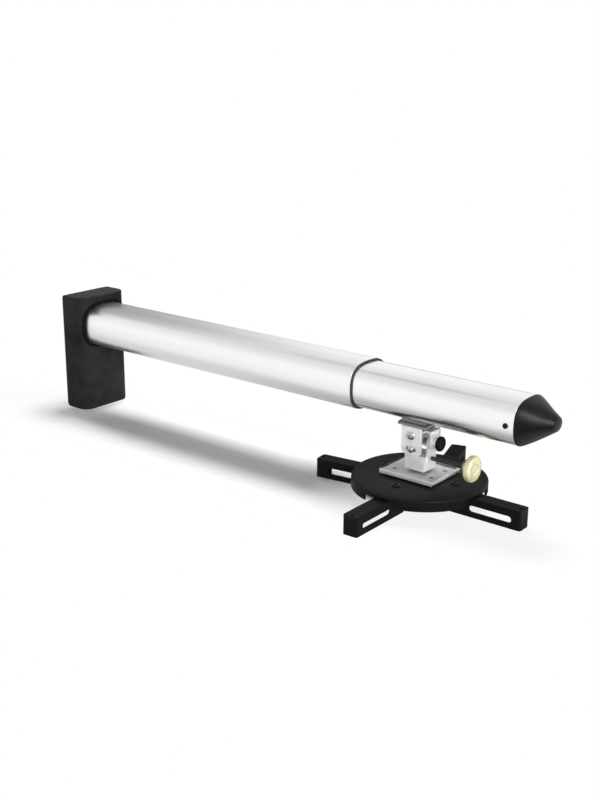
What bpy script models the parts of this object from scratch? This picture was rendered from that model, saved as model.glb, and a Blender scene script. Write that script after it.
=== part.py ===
"""Projector wall mount: a telescopic oval arm on a covered wall plate, with a tilting, rolling
and swivelling head that carries a round hub and four swinging arms.

Metres, +Z up. +X runs out from the wall along the arm. The origin is on the wall face, at the
arm's axis.
"""

import math

import bmesh
import bpy
from mathutils import Matrix, Vector

# Clearances
GAP = 0.0003
HOLE_CLEARANCE = 0.0003
SLIDE_CLEARANCE = 0.0003

# Fineness of round shapes
OVAL_SIDES = 40
DISC_STEPS = 48
SCREW_STEPS = 12
KNOB_STEPS = 20
HOLE_SIDES = 12

# Oval tubes of the arm: a superellipse, wider than high
OVAL_POWER = 2.76
TUBE_WIDTH = 0.087
TUBE_HEIGHT = 0.070
TUBE_WALL = 0.002
INNER_WALL = 0.002
GLIDE_WALL = 0.0006
MOUTH_X = 0.6046
INNER_SHOWN = 0.2543
INNER_ENGAGED = 0.275
COLLAR_FLANGE = 0.0025
COLLAR_SKIRT = 0.032
GLIDE_LENGTH = 0.022
LOCK_SCREWS_FROM_MOUTH = (0.055, 0.075)

# Wall plate and its cover
COVER_BESIDE_TUBE = 0.00635
COVER_ABOVE_TUBE = 0.0148
COVER_BELOW_AXIS = 0.1465
COVER_FRONT = 0.0492
COVER_CORNER = 0.0164
COVER_WALL = 0.0025
COVER_EDGE = 0.0012
COVER_OPENING = 0.0018
PLATE_THICKNESS = 0.004
PLATE_INSET = 0.001
PLATE_CORNER = 0.004
ANCHOR_HOLE = 0.0065
ANCHOR_SLOT = 0.012
ANCHOR_EDGE = 0.011
TAB_LENGTH = 0.015
TAB_WIDTH = 0.014
TAB_THICKNESS = 0.0025
TAB_SPACING = 0.056

# Cast socket that carries the fixed tube
SOCKET_FLANGE = 0.006
SOCKET_WALL = 0.006
SOCKET_LENGTH = 0.034
SOCKET_SCREW_IN = 0.0064
TUBE_SCREW_FROM_FLANGE = 0.017

# Nose cap
CAP_DEPTH = 0.0508
CAP_POWER = 1.18
CAP_RISE = 0.0045
CAP_TIP_RATIO = 0.995
CAP_LIP = 0.0004
CAP_WALL = 0.0025
CAP_PLUG = 0.022
CAP_RINGS = 8
CAP_INNER_RINGS = 4
CAP_SCREW_FROM_END = 0.0115

# Head, measured from its swivel axis and the tube's axis
HEAD_FROM_END = 0.1626
BRACKET_BOLT_SPACING = 0.027
SADDLE_PAST_BOLT = 0.0055
SADDLE_INSET = 0.0035
SADDLE_THICKNESS = 0.002
SADDLE_WRAP_RATIO = 0.8
NUT_BAR_WIDTH = 0.016
NUT_BAR_THICKNESS = 0.004
NUT_BAR_CORNER = 0.003
BRACKET_PAST_BOLT = 0.0095
BRACKET_WIDTH = 0.051
BRACKET_SHEET = 0.003
BRACKET_CHEEK_LENGTH = 0.032
ARC_RADIUS = 0.020
ARC_HALF_ANGLE = math.radians(15)
ARC_END_PLAY = math.radians(1)
CHEEK_BELOW_ARC = 0.008
CHEEK_CORNER = 0.008
FOLD_INSET = 0.0005
YOKE_SHEET = 0.0025
YOKE_LENGTH = 0.0455
YOKE_TAB_WIDTH = 0.021
YOKE_CHEEK_LENGTH = 0.028
YOKE_CHEEK_CLEARANCE = 0.0008
YOKE_WEB_ABOVE_PITCH = 0.0061
YOKE_SWING_CLEARANCE = 0.008
ROLL_DROP = 0.0115
ROLL_KNOB = 0.022
ROLL_KNOB_THICKNESS = 0.006
ROLL_KNOB_HUB = 0.006
BLOCK_END_CLEARANCE = 0.00375
BLOCK_SIDE_CLEARANCE = 0.0035
BLOCK_HEIGHT = 0.022
BLOCK_CORNER = 0.002
BLOCK_EAR = 0.0035
BLOCK_EAR_CLEARANCE = 0.0012
BLOCK_BELOW_ROLL = 0.0415
THRUST_WASHER = 0.001
THRUST_WASHER_RIM = 0.0051
SPINDLE_DIAMETER = 0.016
SPINDLE_CHAMFER = 0.001
SPINDLE_GROOVE = 0.006
SPINDLE_GROOVE_DEPTH = 0.0016
SPINDLE_STUD = 0.008
STUD_CLEARANCE = 0.0015

# Brass thumb screw of the swivel
THUMB_BELOW_BLOCK_TOP = 0.0045
THUMB_REACH = 0.0885
THUMB_DIAMETER = 0.037
THUMB_THICKNESS = 0.0095
THUMB_COLLAR = 0.023
THUMB_COLLAR_THICKNESS = 0.006
THUMB_SHANK = 0.006
THUMB_CHAMFER = 0.0012
THUMB_FLUTES = 20
THUMB_FLUTE_DEPTH = 0.00055

# Carrier plate with folded rails, and the adapter plate that slides in it
CARRIER_LENGTH = 0.0874
CARRIER_WIDTH = 0.0734
CARRIER_SHEET = 0.0023
CARRIER_RAIL = 0.0015
CARRIER_LIP = 0.0068
CARRIER_HOLE = 0.007
CARRIER_HOLE_X = 0.030
CARRIER_HOLE_Y = 0.018
ADAPTER_FLANGE = 0.0026
ADAPTER_CORNER = 0.002
ADAPTER_SLOT = 0.018
ADAPTER_SCREW_X = 0.028
ADAPTER_SCREW_Y = 0.020

# Round hub
HUB_DIAMETER = 0.1928
HUB_SHEET = 0.003
HUB_SHOULDER = 0.0035
HUB_DOME = 0.0017
HUB_HEIGHT = 0.0183
PIVOT_RADIUS = 0.058
NOTCH_DEPTH = 0.0193
NOTCH_CLEARANCE = 0.0006
BOSS_DIAMETER = 0.018

# Swinging arms: the angle is the way each points, and the tip is measured from its pivot
ARM_ANGLES = {"right": 0.0, "front": -89.0, "left": -172.5, "back": 108.0}
PIVOT_ANGLES = {"right": 0.0, "front": -90.0, "left": 180.0, "back": 90.0}
ARM_SWING = math.radians(22)
ARM_LENGTH = 0.109
ARM_WIDTH = 0.023
ARM_HEIGHT = 0.028
ARM_WALL = 0.0025
ARM_DROP = 0.0095
ARM_TIP_BLOCK = 0.011
ARM_CORNER = 0.003
ARM_SLOT_HEIGHT = 0.0092
ARM_SLOT_RAIL = 0.0080
ARM_SLOT_START = 0.030
ARM_SLOT_END = 0.014
ARM_TIP_HOLE = 0.005

# Screws, bolts and nuts: shank, head or flats, and height
SOCKET_SCREW = 0.005
SOCKET_SCREW_HEAD = 0.0095
SOCKET_SCREW_HEIGHT = 0.0028
TUBE_SCREW = 0.006
TUBE_SCREW_HEAD = 0.011
TUBE_SCREW_HEIGHT = 0.0032
LOCK_SCREW_HEIGHT = 0.0035
COVER_SCREW = 0.003
COVER_SCREW_HEAD = 0.007
COVER_SCREW_HEIGHT = 0.0016
COVER_SCREW_LENGTH = 0.007
CAP_SCREW = 0.004
CAP_SCREW_HEAD = 0.0075
CAP_SCREW_HEIGHT = 0.0022
BRACKET_BOLT = 0.006
BRACKET_BOLT_HEAD = 0.009
BRACKET_BOLT_HEIGHT = 0.0022
PITCH_BOLT = 0.006
PITCH_HEAD = 0.0115
PITCH_HEAD_HEIGHT = 0.0034
PITCH_NUT = 0.010
PITCH_NUT_HEIGHT = 0.005
PITCH_BOLT_PAST_NUT = 0.001
ARC_SCREW = 0.005
ARC_SCREW_HEAD = 0.0095
ARC_SCREW_HEIGHT = 0.0028
ROLL_BOLT = 0.008
ROLL_HEAD = 0.013
ROLL_HEAD_HEIGHT = 0.005
SPINDLE_NUT = 0.013
ADAPTER_SCREW = 0.004
ADAPTER_SCREW_HEAD = 0.0075
ADAPTER_SCREW_HEIGHT = 0.002
ARM_BOLT = 0.006
ARM_BOLT_HEAD = 0.012
ARM_BOLT_HEIGHT = 0.0024
ARM_NUT = 0.010
ARM_NUT_HEIGHT = 0.005

# Worked out from the sizes above
OUTER_A = TUBE_WIDTH / 2
OUTER_B = TUBE_HEIGHT / 2
CAVITY_A = OUTER_A - TUBE_WALL
CAVITY_B = OUTER_B - TUBE_WALL
GLIDE_SPACE = GLIDE_WALL + 2 * SLIDE_CLEARANCE
INNER_A = CAVITY_A - GLIDE_SPACE
INNER_B = CAVITY_B - GLIDE_SPACE
BORE_A = INNER_A - INNER_WALL
BORE_B = INNER_B - INNER_WALL
INNER_END = MOUTH_X + INNER_SHOWN
INNER_REAR = MOUTH_X - INNER_ENGAGED
HEAD_X = INNER_END - HEAD_FROM_END
FLANGE_BACK = PLATE_THICKNESS + GAP
FLANGE_FRONT = FLANGE_BACK + SOCKET_FLANGE
TUBE_REAR = FLANGE_FRONT + GAP
TUBE_FRONT = MOUTH_X - COLLAR_FLANGE - GAP
COVER_BACK = PLATE_THICKNESS + GAP
COVER_HALF = OUTER_A + COVER_BESIDE_TUBE
COVER_TOP = OUTER_B + COVER_ABOVE_TUBE
COVER_BOTTOM = -COVER_BELOW_AXIS
PLATE_TOP = COVER_TOP - PLATE_INSET
PLATE_BOTTOM = COVER_BOTTOM + PLATE_INSET
PLATE_HALF = COVER_HALF - PLATE_INSET
CUP_A = CAVITY_A - GAP - SOCKET_WALL
CUP_B = CAVITY_B - GAP - SOCKET_WALL
SADDLE_HALF_LENGTH = BRACKET_BOLT_SPACING / 2 + SADDLE_PAST_BOLT
SADDLE_HALF_WIDTH = BRACKET_WIDTH / 2 - SADDLE_INSET
SADDLE_BOTTOM = -INNER_B - GAP - SADDLE_THICKNESS
BRACKET_TOP = SADDLE_BOTTOM - GAP
BRACKET_UNDER = BRACKET_TOP - BRACKET_SHEET
WEB_TOP = BRACKET_UNDER - YOKE_SWING_CLEARANCE
PITCH_Z = WEB_TOP - YOKE_WEB_ABOVE_PITCH
ROLL_Z = PITCH_Z - ROLL_DROP
BLOCK_FOOT = ROLL_Z - BLOCK_BELOW_ROLL
WASHER_TOP = BLOCK_FOOT - GAP
CARRIER_TOP = WASHER_TOP - THRUST_WASHER - GAP
THUMB_Z = BLOCK_FOOT + BLOCK_HEIGHT - THUMB_BELOW_BLOCK_TOP
YOKE_HALF = BRACKET_WIDTH / 2 - BRACKET_SHEET - YOKE_CHEEK_CLEARANCE
TAB_BACK = YOKE_LENGTH / 2 - YOKE_SHEET
EAR_FRONT = TAB_BACK - BLOCK_EAR_CLEARANCE
BLOCK_HALF_LENGTH = TAB_BACK - BLOCK_END_CLEARANCE
BLOCK_HALF_WIDTH = YOKE_HALF - YOKE_SHEET - BLOCK_SIDE_CLEARANCE
ADAPTER_TOP = CARRIER_TOP - CARRIER_SHEET - GAP
LIP_TOP = ADAPTER_TOP - ADAPTER_FLANGE - GAP
LIP_BOTTOM = LIP_TOP - CARRIER_RAIL
CARRIER_DEPTH = CARRIER_TOP - LIP_BOTTOM
ADAPTER_BOTTOM = LIP_BOTTOM - GAP - HUB_DOME / 2
HUB_TOP = ADAPTER_BOTTOM - GAP
ARM_TOP = HUB_TOP - ARM_DROP
ARM_BOTTOM = ARM_TOP - ARM_HEIGHT
HUB_RADIUS = HUB_DIAMETER / 2
NOTCH_REACH = (HUB_RADIUS - PIVOT_RADIUS) * math.tan(ARM_SWING)
NOTCH_HALF_WIDTH = NOTCH_REACH + ARM_WIDTH / 2 / math.cos(ARM_SWING) + NOTCH_CLEARANCE

# Finishes: colour, roughness and metallic value
FINISHES = {
    "anodised": ((0.80, 0.80, 0.80), 0.32, 1.0),
    "zinc": ((0.72, 0.73, 0.74), 0.28, 1.0),
    "dark_steel": ((0.10, 0.10, 0.11), 0.45, 0.9),
    "black_plastic": ((0.022, 0.022, 0.024), 0.45, 0.0),
    "black_paint": ((0.020, 0.020, 0.022), 0.50, 0.0),
    "cast": ((0.45, 0.46, 0.47), 0.55, 1.0),
    "brass": ((0.88, 0.74, 0.34), 0.25, 1.0),
    "nylon": ((0.75, 0.74, 0.70), 0.50, 0.0),
}

WORLD = {}


def clear_scene():
    for obj in list(bpy.data.objects):
        bpy.data.objects.remove(obj)


def new_collection(name):
    collection = bpy.data.collections.new(name)
    bpy.context.scene.collection.children.link(collection)
    return collection


def finish_material(name, finish):
    colour, roughness, metallic = FINISHES[finish]
    material = bpy.data.materials.new(f"{name}_{finish}")
    material.use_nodes = True
    shader = material.node_tree.nodes["Principled BSDF"]
    shader.inputs["Base Color"].default_value = (*colour, 1.0)
    shader.inputs["Roughness"].default_value = roughness
    shader.inputs["Metallic"].default_value = metallic
    return material


def pointing(direction):
    """The rotation that turns local +Z to a direction."""
    return Vector((0, 0, 1)).rotation_difference(Vector(direction)).to_matrix().to_4x4()


def moving_frame(name, at, parent=None, turn=0.0):
    """An empty on a joint's axis, which carries the pieces that move about it."""
    empty = bpy.data.objects.new(name, None)
    PARTS.objects.link(empty)
    WORLD[name] = Matrix.Translation(at) @ Matrix.Rotation(turn, 4, "Z")
    attach(empty, parent, WORLD[name])
    return empty


def attach(obj, parent, world):
    """Places an object in the world, also when it hangs under a moving frame."""
    if parent:
        obj.parent = parent
        obj.matrix_parent_inverse = WORLD[parent.name].inverted()
    obj.matrix_basis = world


def piece(name, mesh, finish, parent=None, at=(0, 0, 0), facing=None):
    """One solid of the part."""
    obj = bpy.data.objects.new(name, mesh)
    PARTS.objects.link(obj)
    if obj.data.users == 1:
        obj.data.materials.append(finish_material(name, finish))
    world = Matrix.Translation(at)
    if facing:
        world = world @ pointing(facing)
    attach(obj, parent, world)
    return obj


def tool(mesh, name="cutter"):
    """A helper solid that cuts or is joined to a piece."""
    obj = bpy.data.objects.new(name, mesh)
    CUTTERS.objects.link(obj)
    obj.hide_render = True
    obj.display_type = "WIRE"
    return obj


def combine(obj, mesh, operation="DIFFERENCE", at=(0, 0, 0), turn=0.0):
    """Cuts a mesh from a piece, or joins it on, in the piece's own frame."""
    helper = tool(mesh, f"{obj.name}_{operation.lower()}")
    helper.parent = obj
    helper.matrix_basis = Matrix.Translation(at) @ Matrix.Rotation(turn, 4, "Z")
    modifier = obj.modifiers.new(operation.capitalize(), "BOOLEAN")
    modifier.operation = operation
    modifier.solver = "EXACT"
    modifier.object = helper


def bevel(obj, width, segments=2, angle=40.0):
    modifier = obj.modifiers.new("Edges", "BEVEL")
    modifier.width = width
    modifier.segments = segments
    modifier.limit_method = "ANGLE"
    modifier.angle_limit = math.radians(angle)


def oval(half_width, half_height):
    """The tube's section: a superellipse through both half sizes."""
    points = []
    for i in range(OVAL_SIDES):
        angle = 2 * math.pi * i / OVAL_SIDES
        c, s = math.cos(angle), math.sin(angle)
        u = math.copysign(abs(c) ** (2 / OVAL_POWER), c) * half_width
        v = math.copysign(abs(s) ** (2 / OVAL_POWER), s) * half_height
        points.append((u, v))
    return points


def arc(centre, radius, start, end, count):
    """Points along an arc, angles in degrees."""
    points = []
    for i in range(count + 1):
        angle = math.radians(start + (end - start) * i / count)
        points.append((centre[0] + radius * math.cos(angle), centre[1] + radius * math.sin(angle)))
    return points


def circle(centre, diameter, sides=HOLE_SIDES):
    return arc(centre, diameter / 2, 0, 360 - 360 / sides, sides - 1)


def rounded(low, high, radius, count=4):
    """A rectangle with round corners."""
    (u0, v0), (u1, v1) = low, high
    points = arc((u1 - radius, v0 + radius), radius, -90, 0, count)
    points += arc((u1 - radius, v1 - radius), radius, 0, 90, count)
    points += arc((u0 + radius, v1 - radius), radius, 90, 180, count)
    points += arc((u0 + radius, v0 + radius), radius, 180, 270, count)
    return points


def stadium(centre, length, width, upright=False, count=6):
    """A slot with round ends."""
    half = (length - width) / 2
    points = arc((half, 0), width / 2, -90, 90, count)
    points += arc((-half, 0), width / 2, 90, 270, count)
    if upright:
        points = [(-v, u) for u, v in points]
    return [(u + centre[0], v + centre[1]) for u, v in points]


def arc_slot(centre, radius, width, middle, half_angle, count=6):
    """A slot along an arc about a pivot, angles in degrees."""
    start, end = middle - half_angle, middle + half_angle
    turn = math.radians(end)
    far = (centre[0] + radius * math.cos(turn), centre[1] + radius * math.sin(turn))
    turn = math.radians(start)
    near = (centre[0] + radius * math.cos(turn), centre[1] + radius * math.sin(turn))
    points = arc(centre, radius + width / 2, start, end, count)
    points += arc(far, width / 2, end, end + 180, count)[1:-1]
    points += arc(centre, radius - width / 2, end, start, count)
    points += arc(near, width / 2, start + 180, start + 360, count)[1:-1]
    return points


AXES = {
    "X": Matrix(((0, 0, 1, 0), (1, 0, 0, 0), (0, 1, 0, 0), (0, 0, 0, 1))),
    "Y": Matrix(((1, 0, 0, 0), (0, 0, -1, 0), (0, 1, 0, 0), (0, 0, 0, 1))),
    "Z": Matrix.Identity(4),
}


def extruded(outlines, axis, start, end):
    """Outlines, holes among them, drawn out along an axis between two places on it.

    An outline's points are (y, z) along X, (x, z) along Y and (x, y) along Z.
    """
    curve = bpy.data.curves.new("outline", "CURVE")
    curve.dimensions = "2D"
    curve.fill_mode = "BOTH"
    curve.extrude = abs(end - start) / 2
    for outline in outlines:
        spline = curve.splines.new("POLY")
        spline.points.add(len(outline) - 1)
        for point, (u, v) in zip(spline.points, outline):
            point.co = (u, v, 0, 1)
        spline.use_cyclic_u = True
    source = bpy.data.objects.new("outline", curve)
    CUTTERS.objects.link(source)
    graph = bpy.context.evaluated_depsgraph_get()
    mesh = bpy.data.meshes.new_from_object(source.evaluated_get(graph))
    bpy.data.objects.remove(source)
    bpy.data.curves.remove(curve)
    shift = Vector(AXES[axis].col[2][:3]) * (start + end) / 2
    if axis == "Y":
        shift = -shift
    mesh.transform(Matrix.Translation(shift) @ AXES[axis])
    weld(mesh)
    return mesh


def weld(mesh):
    shape = bmesh.new()
    shape.from_mesh(mesh)
    bmesh.ops.remove_doubles(shape, verts=shape.verts, dist=0.000001)
    bmesh.ops.recalc_face_normals(shape, faces=shape.faces)
    shape.to_mesh(mesh)
    shape.free()


def turned_mesh(profile, steps):
    """A turned shape about Z, from (radius, height) points that run down its outer side."""
    mesh = bpy.data.meshes.new("profile")
    points = [(radius, 0, height) for radius, height in profile]
    closed = profile[0][0] > 0
    edges = [(i, i + 1) for i in range(len(points) - 1)]
    if closed:
        edges.append((len(points) - 1, 0))
    mesh.from_pydata(points, edges, [])
    source = bpy.data.objects.new("profile", mesh)
    CUTTERS.objects.link(source)
    screw = source.modifiers.new("Turn", "SCREW")
    screw.steps = steps
    screw.render_steps = steps
    screw.use_merge_vertices = True
    screw.merge_threshold = 0.00001
    graph = bpy.context.evaluated_depsgraph_get()
    result = bpy.data.meshes.new_from_object(source.evaluated_get(graph))
    bpy.data.objects.remove(source)
    weld(result)
    result.shade_smooth()
    result.set_sharp_from_angle(angle=math.radians(35))
    return result


def box(low, high):
    shape = bmesh.new()
    size = Vector(high) - Vector(low)
    middle = (Vector(high) + Vector(low)) / 2
    bmesh.ops.create_cube(shape, size=1.0, matrix=Matrix.Translation(middle) @ Matrix.Diagonal((*size, 1)))
    mesh = bpy.data.meshes.new("box")
    shape.to_mesh(mesh)
    shape.free()
    return mesh


def rod(diameter, start, end, sides=HOLE_SIDES, facing=(0, 0, 1), at=(0, 0, 0)):
    """A round or many-sided bar along a direction, between two places on it."""
    shape = bmesh.new()
    bmesh.ops.create_cone(
        shape,
        cap_ends=True,
        segments=sides,
        radius1=diameter / 2,
        radius2=diameter / 2,
        depth=end - start,
        matrix=Matrix.Translation(at) @ pointing(facing) @ Matrix.Translation((0, 0, (start + end) / 2)),
    )
    mesh = bpy.data.meshes.new("rod")
    shape.to_mesh(mesh)
    shape.free()
    return mesh


def loft(sections):
    """A closed skin over like outlines, each a list of points in space, with flat ends."""
    shape = bmesh.new()
    rings = [[shape.verts.new(point) for point in section] for section in sections]
    for first, second in zip(rings, rings[1:]):
        for i in range(len(first)):
            j = (i + 1) % len(first)
            shape.faces.new((first[i], first[j], second[j], second[i]))
    shape.faces.new(rings[0][::-1])
    shape.faces.new(rings[-1])
    bmesh.ops.recalc_face_normals(shape, faces=shape.faces)
    mesh = bpy.data.meshes.new("loft")
    shape.to_mesh(mesh)
    shape.free()
    return mesh


def button_screw(name, at, facing, shank_size, head_size, parent=None, finish="zinc"):
    """A low round-headed screw with a hexagon socket. The head's underside is at the point.

    Its sizes are (shank diameter, length) and (head diameter, height).
    """
    (shank, length), (head, height) = shank_size, head_size
    profile = [
        (0, height),
        (head * 0.34, height),
        (head / 2, height * 0.45),
        (head / 2, 0),
        (shank / 2, 0),
        (shank / 2, -length),
        (0, -length),
    ]
    screw = piece(name, turned_mesh(profile, SCREW_STEPS), finish, parent, at, facing)
    combine(screw, rod(head * 0.42, height * 0.35, height * 2, sides=6))
    return screw


def hex_nut(name, at, facing, bore, width, height, parent=None):
    """A six-sided nut. Its near face is at the point."""
    corner = width / math.cos(math.pi / 6)
    nut = piece(name, rod(corner, 0, height, sides=6), "zinc", parent, at, facing)
    combine(nut, rod(bore + 2 * HOLE_CLEARANCE, -height, 2 * height))
    return nut


def oval_ring(outer, inner, start, end):
    """A tube of the arm's section between two places along X."""
    return extruded([oval(*outer), oval(*inner)], "X", start, end)


# Wall side


def anchor_slots():
    """Fixing holes: two slots across the top, two upright slots and a round hole below."""
    side = PLATE_HALF - ANCHOR_EDGE
    top = PLATE_TOP - ANCHOR_EDGE
    low = PLATE_BOTTOM + 2 * ANCHOR_EDGE
    middle = (low - OUTER_B) / 2
    outlines = []
    for y in (-side, side):
        outlines.append(stadium((y, top), ANCHOR_SLOT, ANCHOR_HOLE))
        outlines.append(stadium((y, low), ANCHOR_SLOT, ANCHOR_HOLE, upright=True))
    outlines.append(stadium((0, middle), 2 * ANCHOR_SLOT, ANCHOR_HOLE, upright=True))
    return outlines


def socket_screw_places():
    """Four places in the cup's floor, whose heads keep clear of its oval wall."""
    y = CUP_A - SOCKET_SCREW_HEAD / 2 - SOCKET_SCREW_IN
    z = CUP_B - SOCKET_SCREW_HEAD / 2 - SOCKET_SCREW_IN
    return [(-y, -z), (-y, z), (y, -z), (y, z)]


def cover_screw_places():
    x = PLATE_THICKNESS + TAB_LENGTH - TAB_WIDTH / 2
    return {"left": (x, -TAB_SPACING / 2), "right": (x, TAB_SPACING / 2)}


def wall_plate():
    sheet = rounded((-PLATE_HALF, PLATE_BOTTOM), (PLATE_HALF, PLATE_TOP), PLATE_CORNER)
    plate = piece("wall_plate", extruded([sheet], "X", 0, PLATE_THICKNESS), "black_paint")
    holes = anchor_slots()
    for place in socket_screw_places():
        holes.append(circle(place, SOCKET_SCREW + 2 * HOLE_CLEARANCE))
    for hole in holes:
        combine(plate, extruded([hole], "X", -PLATE_THICKNESS, 2 * PLATE_THICKNESS))
    tab_low = COVER_BOTTOM + COVER_WALL + GAP
    for x, y in cover_screw_places().values():
        low = (PLATE_THICKNESS / 2, y - TAB_WIDTH / 2)
        high = (PLATE_THICKNESS + TAB_LENGTH, y + TAB_WIDTH / 2)
        hole = circle((x, y), COVER_SCREW + 2 * HOLE_CLEARANCE)
        tab = extruded([rounded(low, high, PLATE_CORNER / 4), hole], "Z", tab_low, tab_low + TAB_THICKNESS)
        combine(plate, tab, "UNION")


def tube_socket():
    """The cast cup that the fixed tube is pushed over, open to the front."""
    outside = oval(CAVITY_A - GAP, CAVITY_B - GAP)
    front = FLANGE_FRONT + SOCKET_LENGTH
    socket = piece("tube_socket", extruded([outside], "X", FLANGE_BACK, front), "cast")
    combine(socket, extruded([oval(OUTER_A, OUTER_B)], "X", FLANGE_BACK, FLANGE_FRONT), "UNION")
    hollow = oval(CUP_A, CUP_B)
    combine(socket, extruded([hollow], "X", FLANGE_FRONT, front + SOCKET_WALL))
    bore = SOCKET_SCREW + 2 * HOLE_CLEARANCE
    for y, z in socket_screw_places():
        combine(socket, rod(bore, -SOCKET_WALL, 2 * FLANGE_FRONT, facing=(1, 0, 0), at=(0, y, z)))
    x = FLANGE_FRONT + TUBE_SCREW_FROM_FLANGE
    combine(socket, rod(TUBE_SCREW + 2 * HOLE_CLEARANCE, -TUBE_HEIGHT, TUBE_HEIGHT, at=(x, 0, 0)))


def socket_screws():
    shank = (SOCKET_SCREW, FLANGE_FRONT - GAP)
    head = (SOCKET_SCREW_HEAD, SOCKET_SCREW_HEIGHT)
    for number, (y, z) in enumerate(socket_screw_places(), 1):
        at = (FLANGE_FRONT + GAP, y, z)
        button_screw(f"socket_screw_{number}", at, (1, 0, 0), shank, head, finish="dark_steel")


def lock_screw_x():
    return [MOUTH_X - distance for distance in LOCK_SCREWS_FROM_MOUTH]


def outer_tube():
    outer, cavity = (OUTER_A, OUTER_B), (CAVITY_A, CAVITY_B)
    tube = piece("outer_tube", oval_ring(outer, cavity, TUBE_REAR, TUBE_FRONT), "anodised")
    bore = TUBE_SCREW + 2 * HOLE_CLEARANCE
    x = FLANGE_FRONT + TUBE_SCREW_FROM_FLANGE
    combine(tube, rod(bore, -TUBE_HEIGHT, TUBE_HEIGHT, at=(x, 0, 0)))
    for x in lock_screw_x():
        combine(tube, rod(bore, -TUBE_HEIGHT, 0, at=(x, 0, 0)))


def tube_screws():
    x = FLANGE_FRONT + TUBE_SCREW_FROM_FLANGE
    shank = (TUBE_SCREW, TUBE_WALL + SOCKET_WALL)
    head = (TUBE_SCREW_HEAD, TUBE_SCREW_HEIGHT)
    for name, side in (("tube_screw_top", 1), ("tube_screw_bottom", -1)):
        at = (x, 0, side * (OUTER_B + GAP))
        button_screw(name, at, (0, 0, side), shank, head, finish="dark_steel")


def lock_screws():
    """Two screws under the tube's mouth that press on the sliding tube."""
    shank = (TUBE_SCREW, OUTER_B - INNER_B - GAP / 2)
    head = (TUBE_SCREW_HEAD, LOCK_SCREW_HEIGHT)
    for name, x in zip(("lock_screw_front", "lock_screw_rear"), lock_screw_x()):
        at = (x, 0, -OUTER_B - GAP)
        button_screw(name, at, (0, 0, -1), shank, head, finish="dark_steel")


def collar_mesh(inner, skirt, flange_start, flange_end, skirt_start, skirt_end, flange_outer):
    """A plastic ring with a thin skirt between the two tubes."""
    ring = oval_ring(flange_outer, inner, flange_start, flange_end)
    sleeve = oval_ring(skirt, (INNER_A + SLIDE_CLEARANCE, INNER_B + SLIDE_CLEARANCE), skirt_start, skirt_end)
    return ring, sleeve


def mouth_ring():
    inner = (INNER_A + SLIDE_CLEARANCE, INNER_B + SLIDE_CLEARANCE)
    skirt = (inner[0] + GLIDE_WALL, inner[1] + GLIDE_WALL)
    flange = MOUTH_X - COLLAR_FLANGE
    edge = (OUTER_A - GAP, OUTER_B - GAP)
    ring, sleeve = collar_mesh(inner, skirt, flange, MOUTH_X, flange - COLLAR_SKIRT, flange + GAP, edge)
    collar = piece("mouth_ring", ring, "black_plastic")
    combine(collar, sleeve, "UNION")


def cover_outline(inset, back):
    """The cover seen from above: square at the wall, round at the front."""
    half, front, corner = COVER_HALF - inset, COVER_FRONT - inset, COVER_CORNER - inset
    points = [(back, -half)]
    points += arc((front - corner, -half + corner), corner, -90, 0, 8)
    points += arc((front - corner, half - corner), corner, 0, 90, 8)
    points.append((back, half))
    return points


def wall_cover():
    shell = extruded([cover_outline(0, COVER_BACK)], "Z", COVER_BOTTOM, COVER_TOP)
    cover = piece("wall_cover", shell, "black_plastic")
    bevel(cover, COVER_EDGE, angle=60)
    hollow = cover_outline(COVER_WALL, -COVER_WALL)
    combine(cover, extruded([hollow], "Z", COVER_BOTTOM + COVER_WALL, COVER_TOP - COVER_WALL))
    opening = oval(OUTER_A + COVER_OPENING, OUTER_B + COVER_OPENING)
    combine(cover, extruded([opening], "X", COVER_FRONT / 2, 2 * COVER_FRONT))
    for x, y in cover_screw_places().values():
        at = (x, y, COVER_BOTTOM)
        combine(cover, rod(COVER_SCREW + 2 * HOLE_CLEARANCE, -COVER_WALL, 2 * COVER_WALL, at=at))
        head = COVER_SCREW_HEAD + 2 * HOLE_CLEARANCE
        combine(cover, rod(head, -COVER_WALL, COVER_SCREW_HEIGHT + GAP, at=at))


def cover_screws():
    shank = (COVER_SCREW, COVER_SCREW_LENGTH)
    head = (COVER_SCREW_HEAD, COVER_SCREW_HEIGHT)
    for side, (x, y) in cover_screw_places().items():
        at = (x, y, COVER_BOTTOM + COVER_SCREW_HEIGHT)
        button_screw(f"cover_screw_{side}", at, (0, 0, -1), shank, head, finish="dark_steel")


# Sliding tube


def cap_screw_x():
    return INNER_END - CAP_SCREW_FROM_END


def bracket_bolt_x():
    half = BRACKET_BOLT_SPACING / 2
    return {"rear": HEAD_X - half, "front": HEAD_X + half}


def cap_screw_bore():
    """The hole that both cap screws share, right across the tube."""
    bore = CAP_SCREW + 2 * HOLE_CLEARANCE
    return rod(bore, -TUBE_WIDTH, TUBE_WIDTH, facing=(0, 1, 0), at=(cap_screw_x(), 0, 0))


def inner_tube(parent):
    outer, bore = (INNER_A, INNER_B), (BORE_A, BORE_B)
    tube = piece("inner_tube", oval_ring(outer, bore, INNER_REAR, INNER_END), "anodised", parent)
    for x in bracket_bolt_x().values():
        combine(tube, rod(BRACKET_BOLT + 2 * HOLE_CLEARANCE, -TUBE_HEIGHT, 0, at=(x, 0, 0)))
    combine(tube, cap_screw_bore())


def rear_glide(parent):
    """The plastic ring at the back of the sliding tube, which keeps it off the fixed one."""
    skirt = (CAVITY_A - SLIDE_CLEARANCE, CAVITY_B - SLIDE_CLEARANCE)
    bore = (BORE_A, BORE_B)
    end = INNER_REAR - GAP
    ring, sleeve = collar_mesh(bore, skirt, end - COLLAR_FLANGE, end, end - GAP, INNER_REAR + GLIDE_LENGTH, skirt)
    glide = piece("rear_glide", ring, "nylon", parent)
    combine(glide, sleeve, "UNION")


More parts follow.
